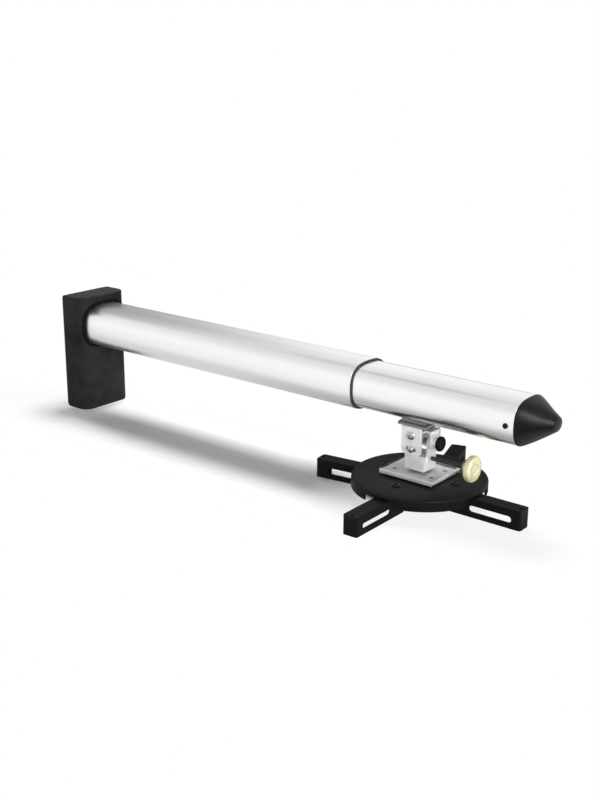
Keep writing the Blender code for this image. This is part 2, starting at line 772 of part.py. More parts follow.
def cap_sections(shrink, depth, rings):
    """Ovals from the tube's end to the nose, closing in along a blunt cone that lifts a little."""
    sections = []
    start = INNER_END + GAP + 2 * CAP_LIP
    for i in range(rings + 1):
        along = CAP_TIP_RATIO * math.sin(math.pi / 2 * i / rings)
        scale = (1 - along**CAP_POWER) ** (1 / CAP_POWER)
        x = start + (depth - 2 * CAP_LIP) * along
        a, b = (INNER_A + CAP_LIP - shrink) * scale, (INNER_B + CAP_LIP - shrink) * scale
        sections.append([(x, y, z + CAP_RISE * along) for y, z in oval(a, b)])
    return sections


def nose_cap(parent):
    """A hollow moulded nose with a plug that sits in the tube's end."""
    base = [(INNER_END + GAP, y, z) for y, z in oval(INNER_A + CAP_LIP, INNER_B + CAP_LIP)]
    shape = loft([base] + cap_sections(0, CAP_DEPTH, CAP_RINGS))
    cap = piece("nose_cap", shape, "black_plastic", parent)
    plug = oval(BORE_A - GAP, BORE_B - GAP)
    rear = INNER_END - CAP_PLUG
    combine(cap, extruded([plug], "X", rear, INNER_END + CAP_LIP * 3), "UNION")
    hollow = oval(BORE_A - GAP - CAP_WALL, BORE_B - GAP - CAP_WALL)
    combine(cap, extruded([hollow], "X", rear - CAP_WALL, INNER_END))
    inside = [(INNER_END - GAP, y, z) for y, z in hollow]
    shrink = INNER_A + CAP_LIP - (BORE_A - GAP - CAP_WALL)
    combine(cap, loft([inside] + cap_sections(shrink, CAP_DEPTH - 2 * CAP_WALL, CAP_INNER_RINGS)))
    combine(cap, cap_screw_bore())


def cap_screws(parent):
    shank = (CAP_SCREW, INNER_WALL + 2 * GAP + CAP_WALL)
    head = (CAP_SCREW_HEAD, CAP_SCREW_HEIGHT)
    for name, side in (("cap_screw_near", -1), ("cap_screw_far", 1)):
        at = (cap_screw_x(), side * (INNER_A + GAP), 0)
        button_screw(name, at, (0, side, 0), shank, head, parent, "dark_steel")


def saddle(parent):
    """The shaped pad between the oval tube and the flat bracket."""
    half = SADDLE_HALF_LENGTH
    low = (-SADDLE_HALF_WIDTH, SADDLE_BOTTOM)
    high = (SADDLE_HALF_WIDTH, -INNER_B * SADDLE_WRAP_RATIO)
    pad = extruded([rounded(low, high, SADDLE_THICKNESS / 2, 2)], "X", HEAD_X - half, HEAD_X + half)
    obj = piece("saddle", pad, "zinc", parent)
    tube = oval(INNER_A + GAP, INNER_B + GAP)
    combine(obj, extruded([tube], "X", HEAD_X - 2 * half, HEAD_X + 2 * half))
    for x in bracket_bolt_x().values():
        combine(obj, rod(BRACKET_BOLT + 2 * HOLE_CLEARANCE, -TUBE_HEIGHT, 0, at=(x, 0, 0)))


def cheek_outline(length, top, bottom, corner):
    low = (HEAD_X - length / 2, bottom)
    high = (HEAD_X + length / 2, top)
    points = [(high[0], high[1]), (low[0], high[1])]
    points += arc((low[0] + corner, low[1] + corner), corner, 180, 270, 5)
    points += arc((high[0] - corner, low[1] + corner), corner, 270, 360, 5)
    return points


def cross(along, across, flare):
    """A cross about the swivel axis, from the half sizes of its two bars. The first flares at its root."""
    (x1, y1), (x0, y2) = along, across
    y0 = y1 + flare
    points = [(x1, -y1), (x1, y1), (x0, y0), (x0, y2), (-x0, y2), (-x0, y0)]
    points += [(-x1, y1), (-x1, -y1), (-x0, -y0), (-x0, -y2), (x0, -y2), (x0, -y0)]
    return [(HEAD_X + x, y) for x, y in points]


def upper_bracket(parent):
    """A folded channel: a flat top and two cheeks with a pivot hole and an arc slot."""
    half = BRACKET_BOLT_SPACING / 2 + BRACKET_PAST_BOLT
    side = BRACKET_WIDTH / 2 - FOLD_INSET
    low = (HEAD_X - half, -side)
    high = (HEAD_X + half, side)
    outlines = [rounded(low, high, BRACKET_SHEET / 2, 2)]
    outlines += [circle((x, 0), BRACKET_BOLT + 2 * HOLE_CLEARANCE) for x in bracket_bolt_x().values()]
    top = extruded(outlines, "Z", BRACKET_UNDER, BRACKET_TOP)
    bracket = piece("upper_bracket", top, "zinc", parent)
    bottom = PITCH_Z - ARC_RADIUS - CHEEK_BELOW_ARC
    root = BRACKET_TOP - BRACKET_SHEET / 2
    outline = cheek_outline(BRACKET_CHEEK_LENGTH, root, bottom, CHEEK_CORNER)
    pivot = circle((HEAD_X, PITCH_Z), PITCH_BOLT + 2 * HOLE_CLEARANCE)
    play = math.degrees(ARC_HALF_ANGLE + ARC_END_PLAY)
    slot = arc_slot((HEAD_X, PITCH_Z), ARC_RADIUS, ARC_SCREW + 4 * HOLE_CLEARANCE, 270, play)
    for side in (-1, 1):
        outer = side * BRACKET_WIDTH / 2
        inner = side * (BRACKET_WIDTH / 2 - BRACKET_SHEET)
        sheet = extruded([outline, pivot, slot], "Y", min(inner, outer), max(inner, outer))
        combine(bracket, sheet, "UNION")


def nut_bar(parent):
    """The threaded bar inside the sliding tube that takes the two bracket bolts."""
    z = -BORE_B + 2 * GAP
    low = (HEAD_X - SADDLE_HALF_LENGTH, -NUT_BAR_WIDTH / 2)
    high = (HEAD_X + SADDLE_HALF_LENGTH, NUT_BAR_WIDTH / 2)
    holes = [circle((x, 0), BRACKET_BOLT + 2 * HOLE_CLEARANCE) for x in bracket_bolt_x().values()]
    bar = extruded([rounded(low, high, NUT_BAR_CORNER)] + holes, "Z", z, z + NUT_BAR_THICKNESS)
    piece("nut_bar", bar, "zinc", parent)


def bracket_bolts(parent):
    z = BRACKET_UNDER - GAP
    shank = (BRACKET_BOLT, -BORE_B + NUT_BAR_THICKNESS - z)
    head = (BRACKET_BOLT_HEAD, BRACKET_BOLT_HEIGHT)
    for end, x in bracket_bolt_x().items():
        button_screw(f"bracket_bolt_{end}", (x, 0, z), (0, 0, -1), shank, head, parent)


# Tilting yoke


def tilt_yoke(parent):
    """A cross-shaped sheet folded down on four sides: two cheeks and two rounded tabs."""
    half = YOKE_LENGTH / 2
    tab_half = YOKE_TAB_WIDTH / 2
    web = cross(
        (half - FOLD_INSET, tab_half - FOLD_INSET),
        (YOKE_CHEEK_LENGTH / 2 - FOLD_INSET, YOKE_HALF - FOLD_INSET),
        FOLD_INSET,
    )
    yoke = piece("tilt_yoke", extruded([web], "Z", WEB_TOP - YOKE_SHEET, WEB_TOP), "zinc", parent)
    bottom = PITCH_Z - ARC_RADIUS - CHEEK_BELOW_ARC
    outline = cheek_outline(YOKE_CHEEK_LENGTH, WEB_TOP - YOKE_SHEET / 3, bottom, CHEEK_CORNER)
    pivot = circle((HEAD_X, PITCH_Z), PITCH_BOLT + 2 * HOLE_CLEARANCE)
    lock = circle((HEAD_X, PITCH_Z - ARC_RADIUS), ARC_SCREW + 2 * HOLE_CLEARANCE)
    for side in (-1, 1):
        edges = sorted((side * YOKE_HALF, side * (YOKE_HALF - YOKE_SHEET)))
        combine(yoke, extruded([outline, pivot, lock], "Y", *edges), "UNION")
    tab = [(tab_half, WEB_TOP - YOKE_SHEET / 3), (-tab_half, WEB_TOP - YOKE_SHEET / 3)]
    tab += arc((0, ROLL_Z), tab_half, 180, 360, 10)
    bore = circle((0, ROLL_Z), ROLL_BOLT + 2 * HOLE_CLEARANCE)
    for side in (-1, 1):
        edges = sorted((HEAD_X + side * half, HEAD_X + side * (half - YOKE_SHEET)))
        combine(yoke, extruded([tab, bore], "X", *edges), "UNION")


def pitch_bolt(parent):
    """The bolt that the head tilts on, and its nut."""
    y = BRACKET_WIDTH / 2 + GAP
    shank = (PITCH_BOLT, 2 * y + PITCH_NUT_HEIGHT + PITCH_BOLT_PAST_NUT)
    head = (PITCH_HEAD, PITCH_HEAD_HEIGHT)
    button_screw("pitch_bolt", (HEAD_X, -y, PITCH_Z), (0, -1, 0), shank, head, parent)
    at = (HEAD_X, y, PITCH_Z)
    hex_nut("pitch_nut", at, (0, 1, 0), PITCH_BOLT, PITCH_NUT, PITCH_NUT_HEIGHT, parent)


def arc_screws(parent):
    """The screws in the arc slots that hold the tilt."""
    z = PITCH_Z - ARC_RADIUS
    shank = (ARC_SCREW, BRACKET_SHEET + GAP + YOKE_CHEEK_CLEARANCE + YOKE_SHEET)
    head = (ARC_SCREW_HEAD, ARC_SCREW_HEIGHT)
    for name, side in (("arc_screw_near", -1), ("arc_screw_far", 1)):
        at = (HEAD_X, side * (BRACKET_WIDTH / 2 + GAP), z)
        button_screw(name, at, (0, side, 0), shank, head, parent)


# Rolling block


def roll_block(parent):
    """A block with a bore for the spindle and two ears that hang on the roll bolt."""
    low = (HEAD_X - BLOCK_HALF_LENGTH, -BLOCK_HALF_WIDTH)
    high = (HEAD_X + BLOCK_HALF_LENGTH, BLOCK_HALF_WIDTH)
    plan = rounded(low, high, BLOCK_CORNER, 2)
    body = extruded([plan], "Z", BLOCK_FOOT, BLOCK_FOOT + BLOCK_HEIGHT)
    block = piece("roll_block", body, "zinc", parent)
    half = YOKE_TAB_WIDTH / 2 - 2 * GAP
    foot = BLOCK_FOOT + BLOCK_HEIGHT / 2
    ear = [(half, foot)]
    ear += arc((0, ROLL_Z), half, 0, 180, 10)
    ear.append((-half, foot))
    for side in (-1, 1):
        edges = sorted((HEAD_X + side * EAR_FRONT, HEAD_X + side * (EAR_FRONT - BLOCK_EAR)))
        combine(block, extruded([ear], "X", *edges), "UNION")
    bore, at = ROLL_BOLT + 2 * HOLE_CLEARANCE, (HEAD_X, 0, ROLL_Z)
    combine(block, rod(bore, -YOKE_LENGTH, YOKE_LENGTH, facing=(1, 0, 0), at=at))
    bore = SPINDLE_DIAMETER + 2 * HOLE_CLEARANCE
    combine(block, rod(bore, -BLOCK_HEIGHT, 2 * BLOCK_HEIGHT, 24, at=(HEAD_X, 0, BLOCK_FOOT)))
    bore, at = THUMB_SHANK + 2 * HOLE_CLEARANCE, (HEAD_X, 0, THUMB_Z)
    combine(block, rod(bore, 0, YOKE_LENGTH, facing=(1, 0, 0), at=at))


def roll_bolt(parent):
    """The bolt along the arm that the head rolls on, its hexagon head to the wall."""
    half = YOKE_LENGTH / 2 + GAP
    shank = rod(ROLL_BOLT, -half, half + ROLL_KNOB_HUB + ROLL_KNOB_THICKNESS / 2)
    bolt = piece("roll_bolt", shank, "zinc", parent, (HEAD_X, 0, ROLL_Z), (1, 0, 0))
    head = rod(ROLL_HEAD / math.cos(math.pi / 6), -half - ROLL_HEAD_HEIGHT, -half, 6)
    combine(bolt, head, "UNION")


def roll_knob(parent):
    """The black lock knob on the roll bolt's front end."""
    hub, radius = ROLL_KNOB_HUB, ROLL_KNOB / 2
    top = hub + ROLL_KNOB_THICKNESS
    bore = ROLL_BOLT / 2 + HOLE_CLEARANCE
    profile = [
        (0, top),
        (radius * 0.62, top),
        (radius * 0.90, top - ROLL_KNOB_THICKNESS * 0.12),
        (radius, top - ROLL_KNOB_THICKNESS * 0.35),
        (radius, hub + ROLL_KNOB_THICKNESS * 0.15),
        (radius * 0.92, hub),
        (radius * 0.58, hub),
        (radius * 0.58, 0),
        (bore, 0),
        (bore, hub + ROLL_KNOB_THICKNESS * 0.6),
        (0, hub + ROLL_KNOB_THICKNESS * 0.6),
    ]
    at = (HEAD_X + YOKE_LENGTH / 2 + GAP, 0, ROLL_Z)
    piece("roll_knob", turned_mesh(profile, KNOB_STEPS), "black_plastic", parent, at, (1, 0, 0))


def thumb_screw(parent):
    """The knurled brass screw that locks the spindle, its tip in the spindle's groove."""
    face = THUMB_REACH
    back = face - THUMB_THICKNESS
    collar = back - THUMB_COLLAR_THICKNESS
    tip = SPINDLE_DIAMETER / 2 - SPINDLE_GROOVE_DEPTH + GAP
    radius, neck, shank = THUMB_DIAMETER / 2, THUMB_COLLAR / 2, THUMB_SHANK / 2
    profile = [
        (0, face),
        (radius - THUMB_CHAMFER, face),
        (radius, face - THUMB_CHAMFER),
        (radius, back + THUMB_CHAMFER),
        (radius - THUMB_CHAMFER, back),
        (neck, back),
        (neck, collar),
        (shank, collar),
        (shank, tip + shank),
        (shank * 0.4, tip),
        (0, tip),
    ]
    mesh = turned_mesh(profile, THUMB_FLUTES * 2)
    knurl(mesh, radius)
    piece("thumb_screw", mesh, "brass", parent, (HEAD_X, 0, THUMB_Z), (1, 0, 0))


def knurl(mesh, radius):
    """Pulls every second line of the rim in a little, which leaves upright flutes."""
    step = math.pi / THUMB_FLUTES
    for vertex in mesh.vertices:
        distance = math.hypot(vertex.co.x, vertex.co.y)
        line = round(math.atan2(vertex.co.y, vertex.co.x) / step)
        if distance > radius - THUMB_CHAMFER / 2 and line % 2:
            vertex.co.x *= 1 - THUMB_FLUTE_DEPTH / distance
            vertex.co.y *= 1 - THUMB_FLUTE_DEPTH / distance


# Swivelling carrier and hub


def thrust_washer(parent):
    inner = SPINDLE_DIAMETER + 4 * GAP
    outer = inner + 2 * THRUST_WASHER_RIM
    outlines = [circle((HEAD_X, 0), outer, 28), circle((HEAD_X, 0), inner, 24)]
    washer = extruded(outlines, "Z", WASHER_TOP - THRUST_WASHER, WASHER_TOP)
    piece("thrust_washer", washer, "nylon", parent)


def spindle(parent):
    """The turned post of the swivel: grooved above, with a stud down through the carrier."""
    radius = SPINDLE_DIAMETER / 2
    top = BLOCK_FOOT + BLOCK_HEIGHT
    groove = SPINDLE_GROOVE / 2
    stud_end = HUB_TOP + STUD_CLEARANCE
    profile = [
        (0, top),
        (radius - SPINDLE_CHAMFER, top),
        (radius, top - SPINDLE_CHAMFER),
        (radius, THUMB_Z + groove),
        (radius - SPINDLE_GROOVE_DEPTH, THUMB_Z + groove * 0.7),
        (radius - SPINDLE_GROOVE_DEPTH, THUMB_Z - groove * 0.7),
        (radius, THUMB_Z - groove),
        (radius, CARRIER_TOP + GAP),
        (SPINDLE_STUD / 2, CARRIER_TOP + GAP),
        (SPINDLE_STUD / 2, stud_end),
        (0, stud_end),
    ]
    piece("spindle", turned_mesh(profile, KNOB_STEPS), "zinc", parent, (HEAD_X, 0, 0))


def spindle_nut(parent):
    at = (HEAD_X, 0, ADAPTER_TOP)
    hex_nut("spindle_nut", at, (0, 0, -1), SPINDLE_STUD, SPINDLE_NUT, ADAPTER_FLANGE, parent)


def carrier_plate(parent):
    """A sheet whose long edges fold down and in as rails, with a folded stop at the front."""
    half, wall = CARRIER_WIDTH / 2, CARRIER_SHEET
    section = [
        (half, LIP_BOTTOM),
        (half, CARRIER_TOP),
        (-half, CARRIER_TOP),
        (-half, LIP_BOTTOM),
        (-half + CARRIER_LIP, LIP_BOTTOM),
        (-half + CARRIER_LIP, LIP_TOP),
        (-half + wall, LIP_TOP),
        (-half + wall, CARRIER_TOP - wall),
        (half - wall, CARRIER_TOP - wall),
        (half - wall, LIP_TOP),
        (half - CARRIER_LIP, LIP_TOP),
        (half - CARRIER_LIP, LIP_BOTTOM),
    ]
    rear, front = HEAD_X - CARRIER_LENGTH / 2, HEAD_X + CARRIER_LENGTH / 2
    plate = piece("carrier_plate", extruded([section], "X", rear, front), "zinc", parent)
    stop = rounded((-half, LIP_BOTTOM), (half, CARRIER_TOP), wall / 3, 2)
    combine(plate, extruded([stop], "X", front - wall, front), "UNION")
    bore = SPINDLE_STUD + 2 * HOLE_CLEARANCE
    combine(plate, rod(bore, -2 * wall, 2 * wall, 20, at=(HEAD_X, 0, CARRIER_TOP)))
    for x in (-CARRIER_HOLE_X, CARRIER_HOLE_X):
        for y in (-CARRIER_HOLE_Y, CARRIER_HOLE_Y):
            at = (HEAD_X + x, y, CARRIER_TOP)
            combine(plate, rod(CARRIER_HOLE, -wall * 1.4, 2 * wall, at=at))


def adapter_screw_places():
    xs, ys = (-ADAPTER_SCREW_X, ADAPTER_SCREW_X), (-ADAPTER_SCREW_Y, ADAPTER_SCREW_Y)
    return [(HEAD_X + x, y) for x in xs for y in ys]


def adapter_plate(parent):
    """The flanged plate on the hub that slides into the carrier's rails, slotted for the nut."""
    half = CARRIER_WIDTH / 2 - CARRIER_SHEET - GAP
    pad_half = CARRIER_WIDTH / 2 - CARRIER_LIP - GAP
    rear = HEAD_X - CARRIER_LENGTH / 2
    front = HEAD_X + CARRIER_LENGTH / 2 - CARRIER_SHEET - GAP
    flange = rounded((rear, -half), (front, half), ADAPTER_CORNER, 2)
    flange = extruded([flange], "Z", ADAPTER_TOP - ADAPTER_FLANGE, ADAPTER_TOP)
    plate = piece("adapter_plate", flange, "dark_steel", parent)
    pad = rounded((rear, -pad_half), (front, pad_half), ADAPTER_CORNER, 2)
    combine(plate, extruded([pad], "Z", ADAPTER_BOTTOM, ADAPTER_TOP - ADAPTER_FLANGE / 2), "UNION")
    slot = stadium((rear, 0), CARRIER_LENGTH + ADAPTER_SLOT, ADAPTER_SLOT, count=8)
    combine(plate, extruded([slot], "Z", 2 * ADAPTER_BOTTOM, 0))
    for x, y in adapter_screw_places():
        at = (x, y, ADAPTER_TOP)
        combine(plate, rod(ADAPTER_SCREW + 2 * HOLE_CLEARANCE, -CARRIER_DEPTH * 2, CARRIER_DEPTH, at=at))
        head = ADAPTER_SCREW_HEAD + 2 * HOLE_CLEARANCE
        combine(plate, rod(head, -ADAPTER_SCREW_HEIGHT - GAP, CARRIER_DEPTH, at=at))


def adapter_screws(parent):
    z = ADAPTER_TOP - ADAPTER_SCREW_HEIGHT
    shank = (ADAPTER_SCREW, z - HUB_TOP + HUB_SHEET)
    head = (ADAPTER_SCREW_HEAD, ADAPTER_SCREW_HEIGHT - GAP)
    for number, (x, y) in enumerate(adapter_screw_places(), 1):
        name = f"adapter_screw_{number}"
        button_screw(name, (x, y, z), (0, 0, 1), shank, head, parent, "dark_steel")


def pivot_place(arm):
    angle = math.radians(PIVOT_ANGLES[arm])
    return (HEAD_X + PIVOT_RADIUS * math.cos(angle), PIVOT_RADIUS * math.sin(angle))


def hub_disc(parent):
    """A shallow domed dish: turned shell, four pivot bosses below and four notches in the rim."""
    r, t = HUB_RADIUS, HUB_SHEET
    shoulder = HUB_TOP - HUB_DOME - HUB_SHOULDER
    bottom = HUB_TOP - HUB_HEIGHT
    profile = [
        (0, HUB_TOP),
        (r * 0.60, HUB_TOP - HUB_DOME * 0.15),
        (r * 0.84, HUB_TOP - HUB_DOME * 0.55),
        (r * 0.94, HUB_TOP - HUB_DOME - HUB_SHOULDER * 0.15),
        (r * 0.985, HUB_TOP - HUB_DOME - HUB_SHOULDER * 0.65),
        (r, shoulder - HUB_SHOULDER * 0.6),
        (r, bottom),
        (r - t, bottom),
        (r - t, shoulder - HUB_SHOULDER),
        (r * 0.92, HUB_TOP - HUB_DOME - t),
        (r * 0.60, HUB_TOP - HUB_DOME * 0.15 - t),
        (0, HUB_TOP - t),
    ]
    hub = piece("hub_disc", turned_mesh(profile, DISC_STEPS), "black_plastic", parent, (HEAD_X, 0, 0))
    for arm, angle in PIVOT_ANGLES.items():
        x, y = pivot_place(arm)
        at = (x - HEAD_X, y, 0)
        combine(hub, rod(BOSS_DIAMETER, ARM_TOP + GAP, HUB_TOP - t * 0.8, 20, at=at), "UNION")
        low = (r - NOTCH_DEPTH, -NOTCH_HALF_WIDTH, ARM_BOTTOM)
        high = (r + NOTCH_DEPTH, NOTCH_HALF_WIDTH, ARM_TOP + 2 * GAP)
        combine(hub, box(low, high), turn=math.radians(angle))
        combine(hub, rod(ARM_BOLT + 2 * HOLE_CLEARANCE, ARM_BOTTOM, 0, at=at))
    for x, y in adapter_screw_places():
        at = (x - HEAD_X, y, 0)
        combine(hub, rod(ADAPTER_SCREW + 2 * HOLE_CLEARANCE, ARM_BOTTOM, 0, 12, at=at))


def swing_arm(arm, parent):
    """A channel arm open below: long slots in both sides, a solid drilled tip, a round root."""
    x, y = pivot_place(arm)
    root = ARM_WIDTH / 2
    outline = arc((0, 0), root, 90, 270, 8)
    outline += arc((ARM_LENGTH - ARM_CORNER, -root + ARM_CORNER), ARM_CORNER, -90, 0, 3)
    outline += arc((ARM_LENGTH - ARM_CORNER, root - ARM_CORNER), ARM_CORNER, 0, 90, 3)
    bolt = circle((0, 0), ARM_BOLT + 2 * HOLE_CLEARANCE)
    tip = circle((ARM_LENGTH - ARM_TIP_BLOCK / 2, 0), ARM_TIP_HOLE, 14)
    bar = extruded([outline, bolt, tip], "Z", -ARM_HEIGHT, 0)
    obj = piece(f"arm_{arm}", bar, "black_paint", parent)
    attach(obj, parent, WORLD[parent.name])
    channel = box(
        (-ARM_WIDTH, -root + ARM_WALL, -2 * ARM_HEIGHT),
        (ARM_LENGTH - ARM_TIP_BLOCK, root - ARM_WALL, -ARM_WALL),
    )
    combine(obj, channel)
    start, end = ARM_SLOT_START, ARM_LENGTH - ARM_SLOT_END
    middle = ((start + end) / 2, -ARM_HEIGHT + ARM_SLOT_RAIL + ARM_SLOT_HEIGHT / 2)
    slot = stadium(middle, end - start, ARM_SLOT_HEIGHT)
    combine(obj, extruded([slot], "Y", -ARM_WIDTH, ARM_WIDTH))


def arm_fastening(arm, parent):
    """The bolt from above and the nut in the arm's channel. Both stay with the hub."""
    x, y = pivot_place(arm)
    top = HUB_TOP - HUB_DOME * 0.1 + GAP
    shank = (ARM_BOLT, top - ARM_TOP + ARM_WALL + ARM_NUT_HEIGHT + 2 * GAP)
    head = (ARM_BOLT_HEAD, ARM_BOLT_HEIGHT)
    button_screw(f"arm_bolt_{arm}", (x, y, top), (0, 0, 1), shank, head, parent, "dark_steel")
    at = (x, y, ARM_TOP - ARM_WALL - GAP)
    hex_nut(f"arm_nut_{arm}", at, (0, 0, -1), ARM_BOLT, ARM_NUT, ARM_NUT_HEIGHT, parent)


def build_wall_side():
    wall_plate()
    tube_socket()
    socket_screws()
    outer_tube()
    tube_screws()
    lock_screws()
    mouth_ring()
    wall_cover()
    cover_screws()


def build_sliding_side(slide):
    inner_tube(slide)
    rear_glide(slide)
    nose_cap(slide)
    cap_screws(slide)
    saddle(slide)
    upper_bracket(slide)
    nut_bar(slide)
    bracket_bolts(slide)


def build_head(slide):
    tilt = moving_frame("tilt_axis", (HEAD_X, 0, PITCH_Z), slide)
    tilt_yoke(tilt)
    pitch_bolt(tilt)
    arc_screws(tilt)
    roll = moving_frame("roll_axis", (HEAD_X, 0, ROLL_Z), tilt)
    roll_block(roll)
    roll_bolt(roll)
    roll_knob(moving_frame("roll_knob_axis", (HEAD_X, 0, ROLL_Z), roll))
    thumb_screw(moving_frame("thumb_screw_axis", (HEAD_X, 0, THUMB_Z), roll))
    return roll


def build_carrier(roll):
    swivel = moving_frame("swivel_axis", (HEAD_X, 0, CARRIER_TOP), roll)
    thrust_washer(swivel)
    spindle(swivel)
    spindle_nut(swivel)
    carrier_plate(swivel)
    adapter_plate(swivel)
    adapter_screws(swivel)
    hub_disc(swivel)
    for arm, angle in ARM_ANGLES.items():
        x, y = pivot_place(arm)
        axis = moving_frame(f"arm_axis_{arm}", (x, y, ARM_TOP), swivel, math.radians(angle))
        swing_arm(arm, axis)
        arm_fastening(arm, swivel)


clear_scene()
PARTS = new_collection("projector_wall_mount")
CUTTERS = new_collection("cutters")
build_wall_side()
SLIDE = moving_frame("slide_axis", (INNER_REAR, 0, 0))
build_sliding_side(SLIDE)
build_carrier(build_head(SLIDE))
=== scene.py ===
"""The looks of a projector wall mount: satin oval tubes, black mouldings, zinc and brass."""

import math

import bmesh
import bpy
import numpy as np
from mathutils import Matrix, Vector


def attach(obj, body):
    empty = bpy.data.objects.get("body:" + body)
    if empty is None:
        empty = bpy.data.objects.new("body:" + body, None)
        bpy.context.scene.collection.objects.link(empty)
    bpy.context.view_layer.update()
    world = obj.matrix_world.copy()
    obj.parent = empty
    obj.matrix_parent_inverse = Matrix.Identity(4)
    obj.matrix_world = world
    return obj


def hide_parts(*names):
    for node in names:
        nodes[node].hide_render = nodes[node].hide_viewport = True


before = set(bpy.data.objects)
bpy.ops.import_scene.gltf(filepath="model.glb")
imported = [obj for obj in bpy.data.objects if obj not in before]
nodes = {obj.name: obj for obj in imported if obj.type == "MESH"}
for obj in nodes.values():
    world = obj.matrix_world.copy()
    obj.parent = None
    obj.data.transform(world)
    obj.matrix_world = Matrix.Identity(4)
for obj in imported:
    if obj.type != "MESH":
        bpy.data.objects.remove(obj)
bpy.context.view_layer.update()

# Places on the mount, in metres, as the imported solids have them
GAP = 0.0003

# The arm: half width and half height of each oval, and where each piece starts and ends along X
OVAL_POWER = 2.76
OUTER = (0.0435, 0.0350)
CAVITY = (0.0415, 0.0330)
INNER = (0.0403, 0.0318)
BORE = (0.0383, 0.0298)
SOCKET_FLOOR = 0.0106
TUBE_X = (SOCKET_FLOOR, 0.6033)
MOUTH_X = 0.6046
INNER_X = (0.3296, 0.8589)
SOCKET_SCREWS = (0.02405, 0.01555)
TUBE_SCREW_X = 0.0273
LOCK_SCREWS_BACK = {"front": 0.055, "rear": 0.075}
CAP_SCREW_BACK = 0.0115
COVER_Z = (-0.1465, 0.0498)
COVER_SCREW = (0.012, 0.028)

# The head, whose upright axis is at HEAD_X
HEAD_X = 0.6963
BRACKET_TOP = -0.0344
BRACKET_HALF = 0.0255
BRACKET_SHEET = 0.003
BRACKET_HOLES = [(HEAD_X - 0.0135, 0), (HEAD_X + 0.0135, 0)]
PITCH_Z = -0.0515
ARC_RADIUS = 0.020
ROLL_Z = -0.0630
ROLL_HALF = 0.02305
BLOCK_FOOT = -0.1045
BLOCK_HEIGHT = 0.022
THUMB_Z = -0.0870

# The hub and its arms
CARRIER_TOP = -0.1061
HUB_TOP = -0.11455
HUB_RADIUS = 0.0964
ADAPTER_SCREWS = (0.028, 0.020)
ARM_TOP = -0.12405
PIVOT_RADIUS = 0.058
ARM_ANGLES = {"right": 0.0, "front": -89.0, "left": -172.5, "back": 108.0}
PIVOT_ANGLES = {"right": 0.0, "front": -90.0, "left": 180.0, "back": 90.0}
CLOSED_WEB = {"right": (-1,), "front": (-1, 1), "left": (1,), "back": (-1,)}

# Holes by diameter, screws by shank, length, head and its height, nuts by bore, width and height
BOLT_HOLE = 0.0066
AXLE_HOLE = 0.0086
SCREWS = {
    "socket": (0.005, 0.0095, 0.0095, 0.0028),
    "tube": (0.006, 0.008, 0.011, 0.0032),
    "lock": (0.006, 0.00305, 0.011, 0.0035),
    "cover": (0.003, 0.007, 0.007, 0.0016),
    "cap": (0.004, 0.0051, 0.0075, 0.0022),
    "bracket": (0.006, 0.0119, 0.009, 0.0022),
    "pitch": (0.006, 0.0576, 0.0115, 0.0034),
    "arc": (0.005, 0.0066, 0.0095, 0.0028),
    "adapter": (0.004, 0.0069, 0.0075, 0.0017),
    "arm": (0.006, 0.0177, 0.012, 0.0024),
}
BRIGHT_SCREWS = ("bracket", "pitch", "arc")
SMALL_NUT = (0.0064, 0.010, 0.005)
SPINDLE_NUT = (0.0086, 0.013, 0.0026)

# Cutters go right through: across the head, along it, and down through the hub
ACROSS = (-0.04, 0.04)
ALONG = (HEAD_X - 0.04, HEAD_X + 0.04)
DOWN = (-0.16, 0.0)

# Edges sharper than this many degrees stay sharp
SHARP = 35.0

# The studio: the floor's own light, the fill, and what mirrors see overhead
WHITE = (1.0, 1.0, 1.0, 1.0)
FLOOR_Z = -0.1525
FLOOR_GLOW = 0.05
WORLD_FILL = 0.09
WORLD_TOP = 0.78

# The shadow that the floor keeps: an oval under the arm, which fades by its distance from the
# oval's middle and ends along X, and a round shade under the hub
SHADOW_SHIFT = (-0.42, 0.052, -FLOOR_Z)
SHADOW_TURN = -0.04
SHADOW_SCALE = (1.9, 10.5, 1.0)
SHADOW_FADE = (0.60, 1.30)
SHADOW_END = (0.54, 0.68)
HUB_SHADE = (0.668, 0.052, FLOOR_Z)
HUB_SHADE_FADE = (0.094, 0.107)

# The camera that took the photo: its place, its yaw, pitch and roll in degrees, and its lens
CAMERA_PLACE = (1.5162, -1.2890, 0.4734)
CAMERA_TURN = (128.813, 17.569, 0.444)
CAMERA_LENS = 51.975
CAMERA_SENSOR = 36.0


# Outlines and profiles, as whole arrays


def oval(half_width, half_height, count=128, power=OVAL_POWER):
    """|y/a|^n + |z/b|^n = 1, with n = 2.76 on the tubes, walked at even steps of its length."""
    angle = np.linspace(0, 2 * np.pi, 8 * count + 1)
    cos, sin = np.cos(angle), np.sin(angle)
    y = half_width * np.sign(cos) * np.abs(cos) ** (2 / power)
    z = half_height * np.sign(sin) * np.abs(sin) ** (2 / power)
    walked = np.concatenate([[0], np.cumsum(np.hypot(np.diff(y), np.diff(z)))])
    even = np.linspace(0, walked[-1], count, endpoint=False)
    return np.stack([np.interp(even, walked, y), np.interp(even, walked, z)], -1)


